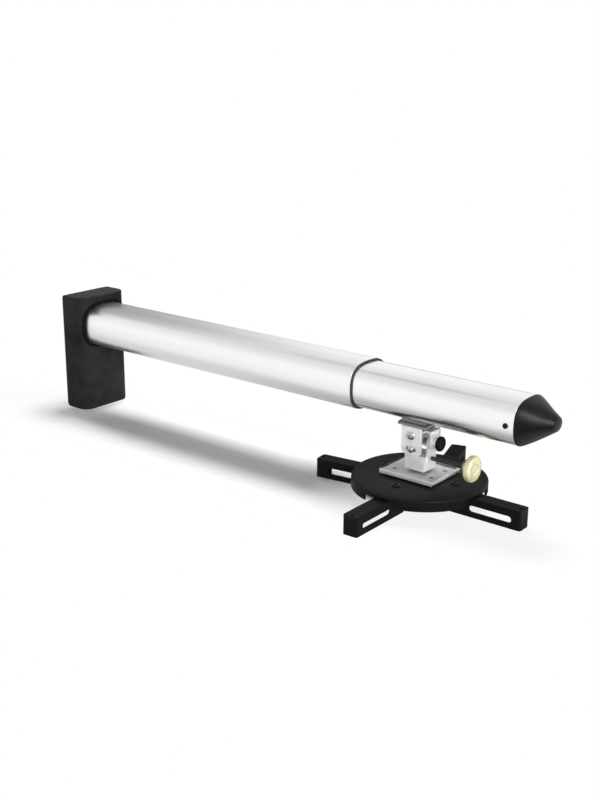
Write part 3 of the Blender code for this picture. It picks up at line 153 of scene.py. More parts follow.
def softened(points, radius, steps=4, closed=False):
    """Each corner becomes a parabola between two points on its sides, at most a radius away."""
    points = np.asarray(points, float)
    before, after = np.roll(points, 1, 0), np.roll(points, -1, 0)
    radius = np.broadcast_to(radius, len(points))
    back, ahead = before - points, after - points
    back_length = np.linalg.norm(back, axis=1, keepdims=True)
    ahead_length = np.linalg.norm(ahead, axis=1, keepdims=True)
    reach = np.minimum(radius[:, None], 0.45 * np.minimum(back_length, ahead_length))
    start = points + back / np.maximum(back_length, 1e-9) * reach
    end = points + ahead / np.maximum(ahead_length, 1e-9) * reach
    t = np.linspace(0, 1, steps + 1)[None, :, None]
    curve = (1 - t) ** 2 * start[:, None] + 2 * t * (1 - t) * points[:, None] + t**2 * end[:, None]
    if closed:
        return curve.reshape(-1, 2)
    return np.concatenate([points[:1], curve[1:-1].reshape(-1, 2), points[-1:]])


def arc(centre, radius, start, end, count=12):
    """Points at a radius from a centre, from one angle to another, in degrees."""
    angle = np.radians(np.linspace(start, end, count + 1))
    return np.stack([centre[0] + radius * np.cos(angle), centre[1] + radius * np.sin(angle)], -1)


def circle(centre, diameter, count=36):
    """A whole turn of an arc, without the point that would close it."""
    return arc(centre, diameter / 2, 0, 360, count)[:-1]


def mirrored(points):
    """Half an outline, then its mirror image from the end back to the start."""
    points = np.asarray(points, float)
    return np.concatenate([points, points[::-1] * (-1, 1)])


def four_sided(low, high):
    """The corners of a rectangle between its lowest and its highest one."""
    return [(low[0], low[1]), (high[0], low[1]), (high[0], high[1]), (low[0], high[1])]


def rectangle(low, high, radius, steps=6):
    """The four corners between two opposite ones, softened by a radius."""
    return softened(four_sided(low, high), radius, steps, closed=True)


def stadium(centre, length, width, count=12):
    """A slot: two half circles joined by straight sides."""
    half = (length - width) / 2
    right = arc((half, 0), width / 2, -90, 90, count)
    left = arc((-half, 0), width / 2, 90, 270, count)
    return np.concatenate([right, left]) + np.asarray(centre)


def four(u, v):
    """Four places, at plus and minus u and plus and minus v."""
    return [(a, b) for a in (-u, u) for b in (-v, v)]


def arc_slot(centre, radius, width, middle, half, count=14):
    """A slot bent along an arc about a pivot, with round ends."""
    ends = np.radians([middle - half, middle + half])
    near, far = (np.asarray(centre) + radius * np.array([np.cos(a), np.sin(a)]) for a in ends)
    lines = [
        arc(centre, radius + width / 2, middle - half, middle + half, count),
        arc(far, width / 2, middle + half, middle + half + 180, count)[1:-1],
        arc(centre, radius - width / 2, middle + half, middle - half, count),
        arc(near, width / 2, middle - half + 180, middle - half + 360, count)[1:-1],
    ]
    return np.concatenate(lines)


# Meshes


def mesh_of(points, faces):
    """A closed mesh: doubles merged, faces pointing out, smooth but for its sharp edges."""
    mesh = bpy.data.meshes.new("form")
    mesh.from_pydata(np.asarray(points, float).reshape(-1, 3).tolist(), [], faces)
    tidied(mesh)
    return smooth(mesh)


def tidied(mesh, merge=1e-6):
    """Merges doubles and turns every face outward."""
    shape = bmesh.new()
    shape.from_mesh(mesh)
    bmesh.ops.remove_doubles(shape, verts=shape.verts, dist=merge)
    bmesh.ops.recalc_face_normals(shape, faces=shape.faces)
    shape.to_mesh(mesh)
    shape.free()


def smooth(mesh, sharp=SHARP):
    """Shades the mesh round, apart from edges sharper than an angle."""
    mesh.shade_smooth()
    mesh.set_sharp_from_angle(angle=math.radians(sharp))
    return mesh


def skin(grid, wrap_rows=False, ends=True):
    """A surface over rows of points. Each row closes on itself, and so do the rows if wrapped."""
    rows, columns = grid.shape[:2]
    index = np.arange(rows * columns).reshape(rows, columns)
    below = np.roll(index, -1, 0)
    quads = np.stack([index, np.roll(index, -1, 1), np.roll(below, -1, 1), below], -1)
    if not wrap_rows:
        quads = quads[:-1]
    faces = quads.reshape(-1, 4).tolist()
    if ends and not wrap_rows:
        faces += [index[0][::-1].tolist(), index[-1].tolist()]
    return mesh_of(grid, faces)


def turned(profile, steps=96, ripple=None, closed=False):
    """A profile of (radius, height) turned about Z: x and y are the radius by cos and sin.

    A ripple scales the radius by angle and height. A closed profile leaves its middle open."""
    profile = np.asarray(profile, float)
    angle = np.linspace(0, 2 * np.pi, steps, endpoint=False)
    radius = np.repeat(profile[:, :1], steps, 1)
    height = np.repeat(profile[:, 1:], steps, 1)
    if ripple:
        radius = radius * ripple(radius, height, angle[None])
    grid = np.stack([radius * np.cos(angle), radius * np.sin(angle), height], -1)
    return skin(grid, wrap_rows=closed, ends=False)


def oval_rows(rows, wrap=False, count=128):
    """Ovals along X. A row is (x, half width, half height, lift), and a power where it differs."""
    grid = []
    for x, a, b, lift, *power in rows:
        section = oval(a, b, count, *power)
        grid.append(np.column_stack([np.full(count, x), section[:, 0], section[:, 1] + lift]))
    return skin(np.array(grid), wrap_rows=wrap)


def prism(outline, axis, start, end):
    """An outline carried straight along X, Y or Z, with flat ends."""
    outline = np.asarray(outline, float)
    along = np.repeat([[start], [end]], len(outline), 1)
    u, v = (np.repeat(outline[None, :, i], 2, 0) for i in (0, 1))
    order = {"X": (along, u, v), "Y": (u, along, v), "Z": (u, v, along)}[axis]
    return skin(np.stack(order, -1))


def facing(direction):
    """The turn that takes Z to a direction."""
    return Vector((0, 0, 1)).rotation_difference(Vector(direction)).to_matrix().to_4x4()


def placed(mesh, at=(0, 0, 0), direction=(0, 0, 1), turn=0.0):
    """The mesh, turned about Z by some degrees, then faced along a direction, then moved."""
    spin = Matrix.Rotation(math.radians(turn), 4, "Z")
    mesh.transform(Matrix.Translation(at) @ facing(direction) @ spin)
    return mesh


def linked(name, data):
    """A new object in the scene's own collection."""
    obj = bpy.data.objects.new(name, data)
    bpy.context.scene.collection.objects.link(obj)
    return obj


def carve(mesh, others, operation="DIFFERENCE"):
    """Cuts other closed meshes from this one, joins them to it, or keeps what they share."""
    base = linked("carved", mesh)
    helpers = [linked("tool", other) for other in others]
    for helper in helpers:
        modifier = base.modifiers.new("carve", "BOOLEAN")
        modifier.operation, modifier.solver, modifier.object = operation, "EXACT", helper
    graph = bpy.context.evaluated_depsgraph_get()
    result = bpy.data.meshes.new_from_object(base.evaluated_get(graph))
    for obj in [base] + helpers:
        bpy.data.objects.remove(obj)
    tidied(result)
    return smooth(result)


def drilled(diameter, places, axis, start, end, count=32):
    """Round cutters of one diameter along an axis, one at each place."""
    return [prism(circle(place, diameter, count), axis, start, end) for place in places]


def piece(name, mesh, finish, slot, body, *stands_for, bevel=0.0, segments=2):
    """A finished piece of the mount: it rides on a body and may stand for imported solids.

    A bevel breaks its sharp edges by a small round of that width."""
    obj = linked(name, mesh)
    mesh.name = name
    mesh.materials.clear()
    mesh.materials.append(finish)
    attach(obj, body)
    if stands_for:
        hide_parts(*stands_for)
    if bevel:
        modifier = obj.modifiers.new("edges", "BEVEL")
        modifier.width, modifier.segments = bevel, segments
        modifier.limit_method, modifier.angle_limit = "ANGLE", math.radians(SHARP)
        modifier.harden_normals = True


# Finishes


def add_node(tree, kind, inputs=None, **settings):
    """A node with its settings. An input is linked to a socket or takes any other value."""
    made = tree.nodes.new(kind)
    for name, value in settings.items():
        setattr(made, name, value)
    for name, value in (inputs or {}).items():
        if isinstance(value, bpy.types.NodeSocket):
            tree.links.new(value, made.inputs[name])
        else:
            made.inputs[name].default_value = value
    return made


class Finish:
    """A material and short ways to add its nodes."""

    def __init__(self, name, colour, roughness, metallic=0.0, **sockets):
        self.material = bpy.data.materials.new(name)
        self.material.use_nodes = True
        self.tree = self.material.node_tree
        self.shader = self.tree.nodes["Principled BSDF"]
        self.set("Base Color", (*colour, 1.0))
        self.set("Roughness", roughness)
        self.set("Metallic", metallic)
        for name, value in sockets.items():
            self.set(name.replace("_", " "), value)
        self.place = self.node("ShaderNodeTexCoord").outputs["Object"]

    def set(self, socket, value):
        target = self.shader.inputs[socket]
        if isinstance(value, bpy.types.NodeSocket):
            self.tree.links.new(value, target)
        else:
            target.default_value = value

    def surface(self, shader):
        """Takes another shader's output as the material's surface."""
        self.tree.links.new(shader, self.tree.nodes["Material Output"].inputs["Surface"])

    def node(self, kind, inputs=None, **settings):
        return add_node(self.tree, kind, inputs, **settings)

    def along(self, axis):
        """The place along X, Y or Z."""
        return self.node("ShaderNodeSeparateXYZ", {"Vector": self.place}).outputs[axis]

    def stretched(self, scale):
        inputs = {"Vector": self.place, "Scale": scale}
        return self.node("ShaderNodeMapping", inputs).outputs["Vector"]

    def noise(self, scale, detail=3.0, roughness=0.5, vector=None):
        vector = vector or self.place
        inputs = {"Vector": vector, "Scale": scale, "Detail": detail, "Roughness": roughness}
        return self.node("ShaderNodeTexNoise", inputs).outputs["Fac"]

    def spots(self, scale):
        inputs = {"Vector": self.place, "Scale": scale}
        return self.node("ShaderNodeTexVoronoi", inputs).outputs["Distance"]

    def between(self, value, low, high, start=0.3, end=0.7):
        """The value from start to end, carried evenly to low to high."""
        inputs = {"Value": value, "From Min": start, "From Max": end, "To Min": low, "To Max": high}
        return self.node("ShaderNodeMapRange", inputs).outputs["Result"]

    def mixed(self, factor, first, second):
        """From the first colour to the second as the factor goes from 0 to 1."""
        sockets = bpy.types.NodeSocket
        first, second = (c if isinstance(c, sockets) else (*c, 1.0) for c in (first, second))
        inputs = {0: factor, 6: first, 7: second}
        return self.node("ShaderNodeMix", inputs, data_type="RGBA").outputs[2]

    def combined(self, first, second, operation="MULTIPLY"):
        return self.node("ShaderNodeMath", {0: first, 1: second}, operation=operation).outputs[0]

    def bump(self, height, strength, distance):
        inputs = {"Height": height, "Strength": strength, "Distance": distance}
        return self.node("ShaderNodeBump", inputs).outputs["Normal"]

    def upward(self):
        """How far the surface faces up, from 0 to 1."""
        normal = self.node("ShaderNodeTexCoord").outputs["Normal"]
        split = self.node("ShaderNodeSeparateXYZ", {"Vector": normal})
        return self.between(split.outputs["Z"], 0.0, 1.0, 0.2, 1.0)


def grey(level):
    return (level, level, level)


def anodised(name, bright, dull, roughness):
    """Drawn aluminium: hair-fine die lines along X under a satin oxide, a little cloudy."""
    made = Finish(name, bright, roughness, 1.0)
    lines = made.noise(1.0, 4.0, 0.6, made.stretched((3.0, 900.0, 900.0)))
    clouds = made.noise(9.0, 3.0, 0.5, made.stretched((0.4, 1.0, 1.0)))
    blend = made.combined(made.between(lines, 0.0, 0.6), made.between(clouds, 0.0, 0.4), "ADD")
    made.set("Base Color", made.mixed(blend, bright, dull))
    made.set("Roughness", made.between(lines, roughness - 0.04, roughness + 0.05))
    made.set("Normal", made.bump(lines, 0.10, 0.0002))
    return made.material


def moulded(name, colour, pale, roughness, gloss, grain, relief):
    """Spark-eroded black moulding: a fine even grain, paler in clouds where handling shows, and
    paler in patches on faces that look up: dust, with a painted sheen on top faces.
    """
    made = Finish(name, colour, roughness, Specular_IOR_Level=gloss)
    fine = made.noise(grain, 2.0, 0.6)
    broad = made.noise(24.0, 4.0, 0.6)
    # Faces that look up go paler in patches: dust, and a painted sheen on top faces
    dust_and_sheen_patches = made.between(made.noise(300.0, 4.0, 0.7), 0.0, 0.5, 0.45, 0.75)
    dust_and_sheen = made.combined(made.upward(), dust_and_sheen_patches)
    tone = made.combined(made.between(broad, 0.0, 0.25), dust_and_sheen, "ADD")
    made.set("Base Color", made.mixed(tone, colour, pale))
    made.set("Roughness", made.between(fine, roughness - 0.06, roughness + 0.08))
    made.set("Normal", made.bump(fine, relief, 0.0003))
    return made.material


def powder_coat(name, colour, pale, roughness, gloss):
    """Baked powder: an orange-peel skin over a soft ripple."""
    made = Finish(name, colour, roughness, Specular_IOR_Level=gloss)
    peel = made.noise(650.0, 2.0, 0.4)
    broad = made.noise(18.0, 3.0, 0.5)
    made.set("Base Color", made.mixed(made.between(broad, 0.0, 0.6), colour, pale))
    made.set("Roughness", made.between(peel, roughness - 0.05, roughness + 0.07))
    made.set("Normal", made.bump(peel, 0.25, 0.0004))
    return made.material


def zinc(name, colour, shade, roughness, metallic, grain=(60.0, 60.0, 900.0), painted_shade_heights=None):
    """Zinc on pressed steel: rolling marks, a faint cloudy bloom that dulls the metal, small rubs.

    Over the heights (start, end) of the last argument the zinc goes grey: painted shade where it is
    tucked up under the tube."""
    made = Finish(name, colour, roughness, metallic)
    rolled = made.noise(1.0, 3.0, 0.6, made.stretched(grain))
    bloom = made.noise(70.0, 5.0, 0.6)
    rubs = made.between(made.spots(420.0), 0.0, 1.0, 0.02, 0.14)
    tone = made.combined(made.between(bloom, 0.0, 0.8), made.between(rolled, 0.0, 0.4), "ADD")
    tone = made.mixed(tone, colour, shade)
    if painted_shade_heights:
        # Painted shade: over these heights the zinc turns grey, as if shaded by the tube above it
        painted_shade = made.mixed(bloom, grey(0.16), grey(0.24))
        tone = made.mixed(made.between(made.along("Z"), 0.0, 1.0, *painted_shade_heights), tone, painted_shade)
    made.set("Base Color", tone)
    wear = made.combined(made.between(rolled, roughness - 0.06, roughness + 0.10), rubs)
    made.set("Roughness", made.combined(wear, 0.10, "ADD"))
    made.set("Normal", made.bump(rolled, 0.12, 0.0002))
    return made.material


def turned_metal(name, colour, shade, roughness, metallic=1.0, stem=None):
    """Lathe-turned metal: fine rings across X and darker stains.

    A stem is (tone, end, start): painted shade in that tone up to its end, and the head's metal
    from the start on."""
    made = Finish(name, colour, roughness, metallic)
    marks = made.noise(1.0, 2.0, 0.5, made.stretched((2600.0, 40.0, 40.0)))
    stain = made.noise(120.0, 4.0, 0.6)
    tone = made.mixed(made.between(stain, 0.0, 0.8), colour, shade)
    if stem:
        # Painted shade: the stem is dark where it stands in shade between the block and the screw's
        # head
        stem_shade, end, start = stem
        tone = made.mixed(made.between(made.along("X"), 0.0, 1.0, end, start), stem_shade, tone)
    made.set("Base Color", tone)
    made.set("Roughness", made.between(marks, roughness - 0.05, roughness + 0.10))
    made.set("Normal", made.bump(marks, 0.15, 0.0001))
    return made.material


def casting(name, colour, shade, roughness):
    """A sand-blasted casting: pitted and dull."""
    made = Finish(name, colour, roughness, 1.0)
    pits = made.noise(1500.0, 4.0, 0.7)
    made.set("Base Color", made.mixed(made.between(pits, 0.0, 1.0), colour, shade))
    made.set("Roughness", made.between(pits, roughness, roughness + 0.2))
    made.set("Normal", made.bump(pits, 0.5, 0.0004))
    return made.material


def natural_plastic(name, colour, shade, roughness):
    """Uncoloured nylon: cloudy flow marks and a fine grain."""
    made = Finish(name, colour, roughness)
    flow = made.noise(90.0, 3.0, 0.5)
    made.set("Base Color", made.mixed(made.between(flow, 0.0, 1.0), colour, shade))
    made.set("Roughness", made.between(flow, roughness - 0.05, roughness + 0.1))
    made.set("Normal", made.bump(made.noise(1800.0), 0.15, 0.0002))
    return made.material


TUBE_TONES = (grey(0.985), (0.93, 0.93, 0.935))
# The cover's pale tone is strong, so its top faces take a painted sheen besides dust
COVER_TONES = ((0.017, 0.0168, 0.0195), (0.115, 0.115, 0.118))
RING_TONES = ((0.045, 0.045, 0.046), (0.075, 0.075, 0.077))
PLATE_TONES = ((0.010, 0.010, 0.011), (0.018, 0.018, 0.019))
ZINC_TONES = (grey(0.95), (0.82, 0.825, 0.83))
CARRIER_TONES = ((0.84, 0.83, 0.85), (0.62, 0.61, 0.64))
CARRIER_GRAIN = (900.0, 60.0, 60.0)
# Heights over which the bracket's zinc takes painted shade under the tube
SHADE_UNDER_TUBE = (-0.0400, -0.0378)
BRASS_TONES = ((0.95, 0.91, 0.60), (0.84, 0.76, 0.42))
# The brass screw's stem is painted dark olive as shade between the block and its head
BRASS_STEM_SHADE = ((0.045, 0.040, 0.022), HEAD_X + 0.070, HEAD_X + 0.0815)

FIXED_TUBE = anodised("fixed_tube_satin", *TUBE_TONES, 0.31)
SLIDING_TUBE = anodised("sliding_tube_satin", *TUBE_TONES, 0.25)
COVER_BLACK = moulded("cover_black", *COVER_TONES, 0.55, 0.05, 2400.0, 0.22)
# A near black that paints shade: the ring in the gap round the tube's root and the washer under the
# block
PAINTED_SHADE_BLACK = moulded("painted_shade_black", grey(0.006), grey(0.010), 0.70, 0.08, 1800.0, 0.12)
RING_BLACK = moulded("ring_black", *RING_TONES, 0.45, 0.20, 2400.0, 0.15)
NOSE_BLACK = moulded("nose_black", grey(0.003), grey(0.005), 0.40, 0.22, 3000.0, 0.05)
KNOB_BLACK = moulded("knob_black", grey(0.004), grey(0.008), 0.55, 0.08, 2600.0, 0.15)
HUB_BLACK = moulded("hub_black", grey(0.004), grey(0.011), 0.42, 0.13, 1600.0, 0.18)
ARM_BLACK = powder_coat("arm_black", grey(0.003), grey(0.009), 0.50, 0.12)
PLATE_BLACK = powder_coat("plate_black", *PLATE_TONES, 0.50, 0.20)
HEAD_ZINC = zinc("head_zinc", *ZINC_TONES, 0.26, 0.40)
# The bracket and saddle zinc, with painted shade at its top under the tube
BRACKET_ZINC_SHADED = zinc("bracket_zinc_shaded", *ZINC_TONES, 0.26, 0.40, painted_shade_heights=SHADE_UNDER_TUBE)
CARRIER_ZINC = zinc("carrier_zinc", *CARRIER_TONES, 0.30, 0.38, CARRIER_GRAIN)
SPINDLE_STEEL = turned_metal("spindle_steel", (0.70, 0.71, 0.73), (0.55, 0.56, 0.58), 0.22)
SCREW_ZINC = turned_metal("screw_zinc", (0.56, 0.57, 0.59), (0.40, 0.41, 0.43), 0.28)
SCREW_BLACK = turned_metal("screw_black", (0.040, 0.040, 0.043), (0.018, 0.018, 0.020), 0.34)
BRASS = turned_metal("thumb_brass", *BRASS_TONES, 0.28, 0.45, BRASS_STEM_SHADE)
SOCKET_CAST = casting("socket_cast", (0.46, 0.47, 0.48), (0.32, 0.33, 0.34), 0.50)
GLIDE_NYLON = natural_plastic("glide_nylon", (0.72, 0.71, 0.67), (0.60, 0.59, 0.55), 0.45)


# Wall side, and both tubes


def tube_wall(ends, outer, inner, lip=0.0005):
    """A tube whose wall closes at both ends over a small round lip."""
    rear, front = ends
    wall = outer[0] - inner[0]
    section = softened([(rear, 0), (front, 0), (front, wall), (rear, wall)], lip, 4, True)
    rows = [(x, outer[0] - inset, outer[1] - inset, 0.0) for x, inset in section]
    return oval_rows(rows, wrap=True)


def build_tubes():
    fixed = tube_wall(TUBE_X, OUTER, CAVITY)
    piece("fixed_tube", fixed, FIXED_TUBE, "anodised", "wall_side", "outer_tube")
    sliding = tube_wall(INNER_X, INNER, BORE)
    piece("sliding_tube", sliding, SLIDING_TUBE, "anodised", "extension", "inner_tube")


def build_mouth_ring():
    """A collar with a rounded front edge, and its thin skirt between the tubes."""
    skirt, skirt_wall, flange = 0.0345, 0.0006, 0.0010
    a, b = INNER[0] + GAP, INNER[1] + GAP
    outer = OUTER[0] - GAP - a
    outline = [
        (MOUTH_X - skirt, 0.0), (MOUTH_X - skirt, skirt_wall), (MOUTH_X - flange, skirt_wall),
        (MOUTH_X - flange, outer), (MOUTH_X, outer), (MOUTH_X, 0.0),
    ]
    soft = softened(outline, [0, 0, 0, 0.0002, 0.0006, 0.0005], 4, True)
    mesh = oval_rows([(x, a + out, b + out, 0.0) for x, out in soft], wrap=True)
    piece("collar_ring", mesh, RING_BLACK, "black_plastic", "wall_side", "mouth_ring")


def cover_plan(inset, back, count=16):
    """The cover from above: square at the wall, round at the front corners."""
    half, front, corner = 0.04985 - inset, 0.0492 - inset, 0.0164 - inset
    left = arc((front - corner, -half + corner), corner, -90, 0, count)
    right = arc((front - corner, half - corner), corner, 0, 90, count)
    return np.concatenate([[(back, -half)], left, right, [(back, half)]])


def build_cover():
    """The cover's plan carried up Z, with its top and bottom edges rolled over a quarter circle."""
    low, high = COVER_Z
    back, wall, edge, margin = 0.0043, 0.0025, 0.0022, 0.0018
    angle = np.linspace(0, np.pi / 2, 7)
    inset = edge * (1 - np.sin(angle))
    rise = edge * (1 - np.cos(angle))
    levels = np.concatenate([low + rise, (high - rise)[::-1]])
    insets = np.concatenate([inset, inset[::-1]])
    grid = []
    for level, side in zip(levels, insets):
        plan = cover_plan(side, back)
        grid.append(np.column_stack([plan, np.full(len(plan), level)]))
    shell = skin(np.array(grid))
    hollow = prism(cover_plan(wall, -0.01), "Z", low + wall, high - wall)
    opening = prism(oval(OUTER[0] + margin, OUTER[1] + margin), "X", 0.03, 0.06)
    x, y = COVER_SCREW
    below = low - 0.01
    sinks = drilled(0.0076, [(x, -y), (x, y)], "Z", below, low + 0.0019)
    holes = drilled(0.0036, [(x, -y), (x, y)], "Z", below, low + 0.01)
    mesh = carve(shell, [hollow, opening] + sinks + holes)
    piece("cover", mesh, COVER_BLACK, "black_plastic", "wall_side", "wall_cover")


def build_root_ring():
    """A near-black lip over the cover's opening, darker than the cover as painted shade in the gap
    round the tube: an oval ring with a round nose, 4.4 mm wide.
    """
    back, front, inner, outer = 0.0478, 0.0502, 0.0004, 0.0048
    corners = [(back, inner), (front, inner), (front, outer), (back, outer)]
    section = softened(corners, [0.0003, 0.0011, 0.0011, 0.0003], 5, True)
    rows = [(x, OUTER[0] + out, OUTER[1] + out, 0.0) for x, out in section]
    mesh = oval_rows(rows, wrap=True)
    # Its near black is painted shade for the gap round the tube's root
    piece("root_ring", mesh, PAINTED_SHADE_BLACK, "black_plastic", "wall_side")


# Sliding side


def build_nose():
    """A plug, then ovals that shrink as 1 - 0.74 u^1.15, where u is the share of the 43 mm depth.

    The last 5% closes as a quarter ellipse. The ovals' power falls from 2.76 to 2.02 by u = 0.6."""
    end, depth, lip, lift, plug, chamfer = INNER_X[1], 0.043, 0.0004, 0.003, 0.022, 0.001
    closing = 0.95
    curved = closing + (1 - closing) * np.sin(np.linspace(0, 1.53, 14))
    along = np.concatenate([np.linspace(0, 0.94, 32), curved])
    tip = np.clip((along - closing) / (1 - closing), 0, 1)
    scale = (1 - 0.74 * along**1.15) * np.sqrt(1 - tip**2)
    a, b = INNER
    plug_a, plug_b = BORE[0] - GAP, BORE[1] - GAP
    rows = [
        (end - plug, plug_a - chamfer, plug_b - chamfer, 0.0),
        (end - plug + chamfer, plug_a, plug_b, 0.0),
        (end, plug_a, plug_b, 0.0),
        (end + GAP, a - lip, b - lip, 0.0),
        (end + GAP, a, b, 0.0),
        (end + 2 * GAP, a + lip, b + lip, 0.0),
    ]
    start = end + GAP + 2 * lip
    for u, s in zip(along, scale):
        power = OVAL_POWER - 0.74 * min(u / 0.6, 1.0)
        rows.append((start + (depth - 2 * lip) * u, (a + lip) * s, (b + lip) * s, lift * u, power))
    mesh = smooth(oval_rows(rows), 50.0)
    piece("nose", mesh, NOSE_BLACK, "black_plastic", "extension", "nose_cap")


def screw_mesh(shank, length, head, height):
    """A turned screw with a domed head and a six-sided socket. The head's underside is at zero."""
    r = head / 2
    angle = np.linspace(1.25, 0.12, 9)
    dome = np.column_stack([r * np.cos(angle), height * (0.15 + 0.85 * np.sin(angle))])
    top = [(0, height), (dome[0, 0] * 0.9, height)]
    under = [(r, height * 0.1), (r - height * 0.08, 0)]
    stem = [(shank / 2, 0), (shank / 2, -length), (0, -length)]
    body = turned(np.concatenate([top, dome, under, stem]), 40)
    socket = prism(circle((0, 0), head * 0.42, 6), "Z", height * 0.35, height * 2)
    return carve(body, [socket])


def hexagon(width, low, high, *ends):
    """A six-sided bar, whose corners are turned round at the named ends, as on nuts and heads."""
    corner = width / math.cos(math.pi / 6)
    r, c = corner / 2, (corner - width) / 2
    over = [(r - c, high), (r, high - c * 0.6)] if "high" in ends else [(r, high)]
    under = [(r, low + c * 0.6), (r - c, low)] if "low" in ends else [(r, low)]
    bar = turned([(0, high), *over, *under, (0, low)], 48)
    return carve(prism(circle((0, 0), corner, 6), "Z", low, high), [bar], "INTERSECT")


def nut_mesh(bore, width, height):
    """A nut that stands on zero, chamfered at both faces."""
    block = hexagon(width, 0, height, "low", "high")
    return carve(block, [prism(circle((0, 0), bore), "Z", -height, 2 * height)])


def screw(node, at, direction, body):
    """The screw that a node names first, with its head's underside at a place."""
    kind = node.split("_")[0]
    mesh = placed(screw_mesh(*SCREWS[kind]), at, direction, 15.0)
    if kind in BRIGHT_SCREWS:
        piece(node + "_turned", mesh, SCREW_ZINC, "zinc", body, node)
    else:
        piece(node + "_turned", mesh, SCREW_BLACK, "dark_steel", body, node)


def nut(node, at, direction, size, body, turn=0.0):
    """A nut whose near face is at a place."""
    mesh = placed(nut_mesh(*size), at, direction, turn)
    piece(node + "_six_sided", mesh, SCREW_ZINC, "zinc", body, node, bevel=0.00015, segments=1)


def build_wall_screws():
    """Screws of the socket, of the tube, against the sliding tube and under the cover."""
    body = "wall_side"
    for number, (y, z) in enumerate(four(*SOCKET_SCREWS), 1):
        screw(f"socket_screw_{number}", (SOCKET_FLOOR, y, z), (1, 0, 0), body)
    for name, side in (("top", 1), ("bottom", -1)):
        at = (TUBE_SCREW_X, 0, side * (OUTER[1] + GAP))
        screw(f"tube_screw_{name}", at, (0, 0, side), body)
    for name, back in LOCK_SCREWS_BACK.items():
        screw(f"lock_screw_{name}", (MOUTH_X - back, 0, -OUTER[1] - GAP), (0, 0, -1), body)
    for name, side in (("left", -1), ("right", 1)):
        at = (COVER_SCREW[0], side * COVER_SCREW[1], COVER_Z[0] + 0.0016)
        screw(f"cover_screw_{name}", at, (0, 0, -1), body)


def build_extension_screws():
    """The nose's two screws, and the bolts that hold the bracket under the sliding tube."""
    for name, side in (("near", -1), ("far", 1)):
        at = (INNER_X[1] - CAP_SCREW_BACK, side * (INNER[0] + GAP), 0)
        screw(f"cap_screw_{name}", at, (0, side, 0), "extension")
    for name, (x, y) in zip(("rear", "front"), BRACKET_HOLES):
        at = (x, y, BRACKET_TOP - BRACKET_SHEET - GAP)
        screw(f"bracket_bolt_{name}", at, (0, 0, -1), "extension")


# Head


def folded(half, top, bottom, sheet, bend):
    """The section of a sheet folded down at both sides: inner bends are tighter by the sheet."""
    inside, ceiling, tight = half - sheet, top - sheet, max(bend - sheet, 0.0004)
    outer = softened(mirrored([(half, bottom), (half, top)]), [0, bend, bend, 0], 8)
    inner = softened(mirrored([(inside, bottom), (inside, ceiling)]), [0, tight, tight, 0], 8)
    return np.concatenate([outer, inner[::-1]])


def cheek_side(long_half, short_half, top, step, bottom, corner):
    """A side view: a long flat top and a narrower cheek with round lower corners."""
    points = [(long_half, top), (long_half, step), (short_half, step), (short_half, bottom)]
    edge, inside = 0.0004, 0.0016
    bends = [edge, edge, inside, corner]
    return softened(mirrored(points), bends + bends[::-1], 10, True) + (HEAD_X, 0)


def build_upper_bracket():
    """A folded channel with round lower corners, bored for the tilt and slotted on an arc."""
    top, sheet = BRACKET_TOP, BRACKET_SHEET
    section = prism(folded(BRACKET_HALF, top, -0.085, sheet, 0.0042), "X", *ALONG)
    side = cheek_side(0.023, 0.016, top + 0.01, top - sheet - 0.0012, -0.0795, 0.009)
    bracket = carve(section, [prism(side, "Y", *ACROSS)], "INTERSECT")
    cuts = drilled(BOLT_HOLE, BRACKET_HOLES, "Z", -0.05, -0.02)
    cuts += drilled(BOLT_HOLE, [(HEAD_X, PITCH_Z)], "Y", *ACROSS)
    slot = arc_slot((HEAD_X, PITCH_Z), ARC_RADIUS, 0.0062, 270, 16)
    mesh = carve(bracket, cuts + [prism(slot, "Y", *ACROSS)])
    piece("hanging_bracket", mesh, BRACKET_ZINC_SHADED, "zinc", "extension", "upper_bracket", bevel=0.0003)


def build_saddle():
    """A pad whose top follows the oval tube and whose foot is flat."""
    half_width, half_length, rim = 0.022, 0.019, -0.0254
    section = rectangle((-half_width, BRACKET_TOP + GAP), (half_width, rim), 0.0008)
    block = prism(section, "X", HEAD_X - half_length, HEAD_X + half_length)
    tube = prism(oval(INNER[0] + GAP, INNER[1] + GAP, 160), "X", *ALONG)
    holes = drilled(BOLT_HOLE, BRACKET_HOLES, "Z", -0.05, 0.0)
    mesh = carve(block, [tube] + holes)
    piece("tube_saddle", mesh, BRACKET_ZINC_SHADED, "zinc", "extension", "saddle", bevel=0.0003)


def build_tilt_yoke():
    """Two folded strips that cross: broad cheeks to the sides, narrow round tabs fore and aft."""
    top, low, sheet, bend = -0.0454, -0.085, 0.0025, 0.0034
    cheek, tab = 0.014, 0.0105
    section = folded(0.0217, top, low, sheet, bend)
    cheeks = prism(section, "X", HEAD_X - cheek, HEAD_X + cheek)
    side = cheek_side(cheek, cheek - 0.00001, top + 0.01, top, -0.0795, 0.008)
    cheeks = carve(cheeks, [prism(side, "Y", *ACROSS)], "INTERSECT")
    section = folded(0.02275, top - 0.00002, low, sheet, bend) + (HEAD_X, 0)
    strip = prism(section, "Y", -tab, tab)
    end_view = np.concatenate([[(tab, 0.0), (-tab, 0.0)], arc((0, ROLL_Z), tab, 180, 360, 24)])
    strip = carve(strip, [prism(end_view, "X", *ALONG)], "INTERSECT")
    yoke = carve(cheeks, [strip], "UNION")
    cuts = drilled(BOLT_HOLE, [(HEAD_X, PITCH_Z)], "Y", *ACROSS)
    cuts += drilled(0.0056, [(HEAD_X, PITCH_Z - ARC_RADIUS)], "Y", *ACROSS)
    cuts += drilled(AXLE_HOLE, [(0, ROLL_Z)], "X", *ALONG)
    mesh = carve(yoke, cuts)
    piece("cross_yoke", mesh, HEAD_ZINC, "zinc", "tilting_yoke", "tilt_yoke", bevel=0.00025)


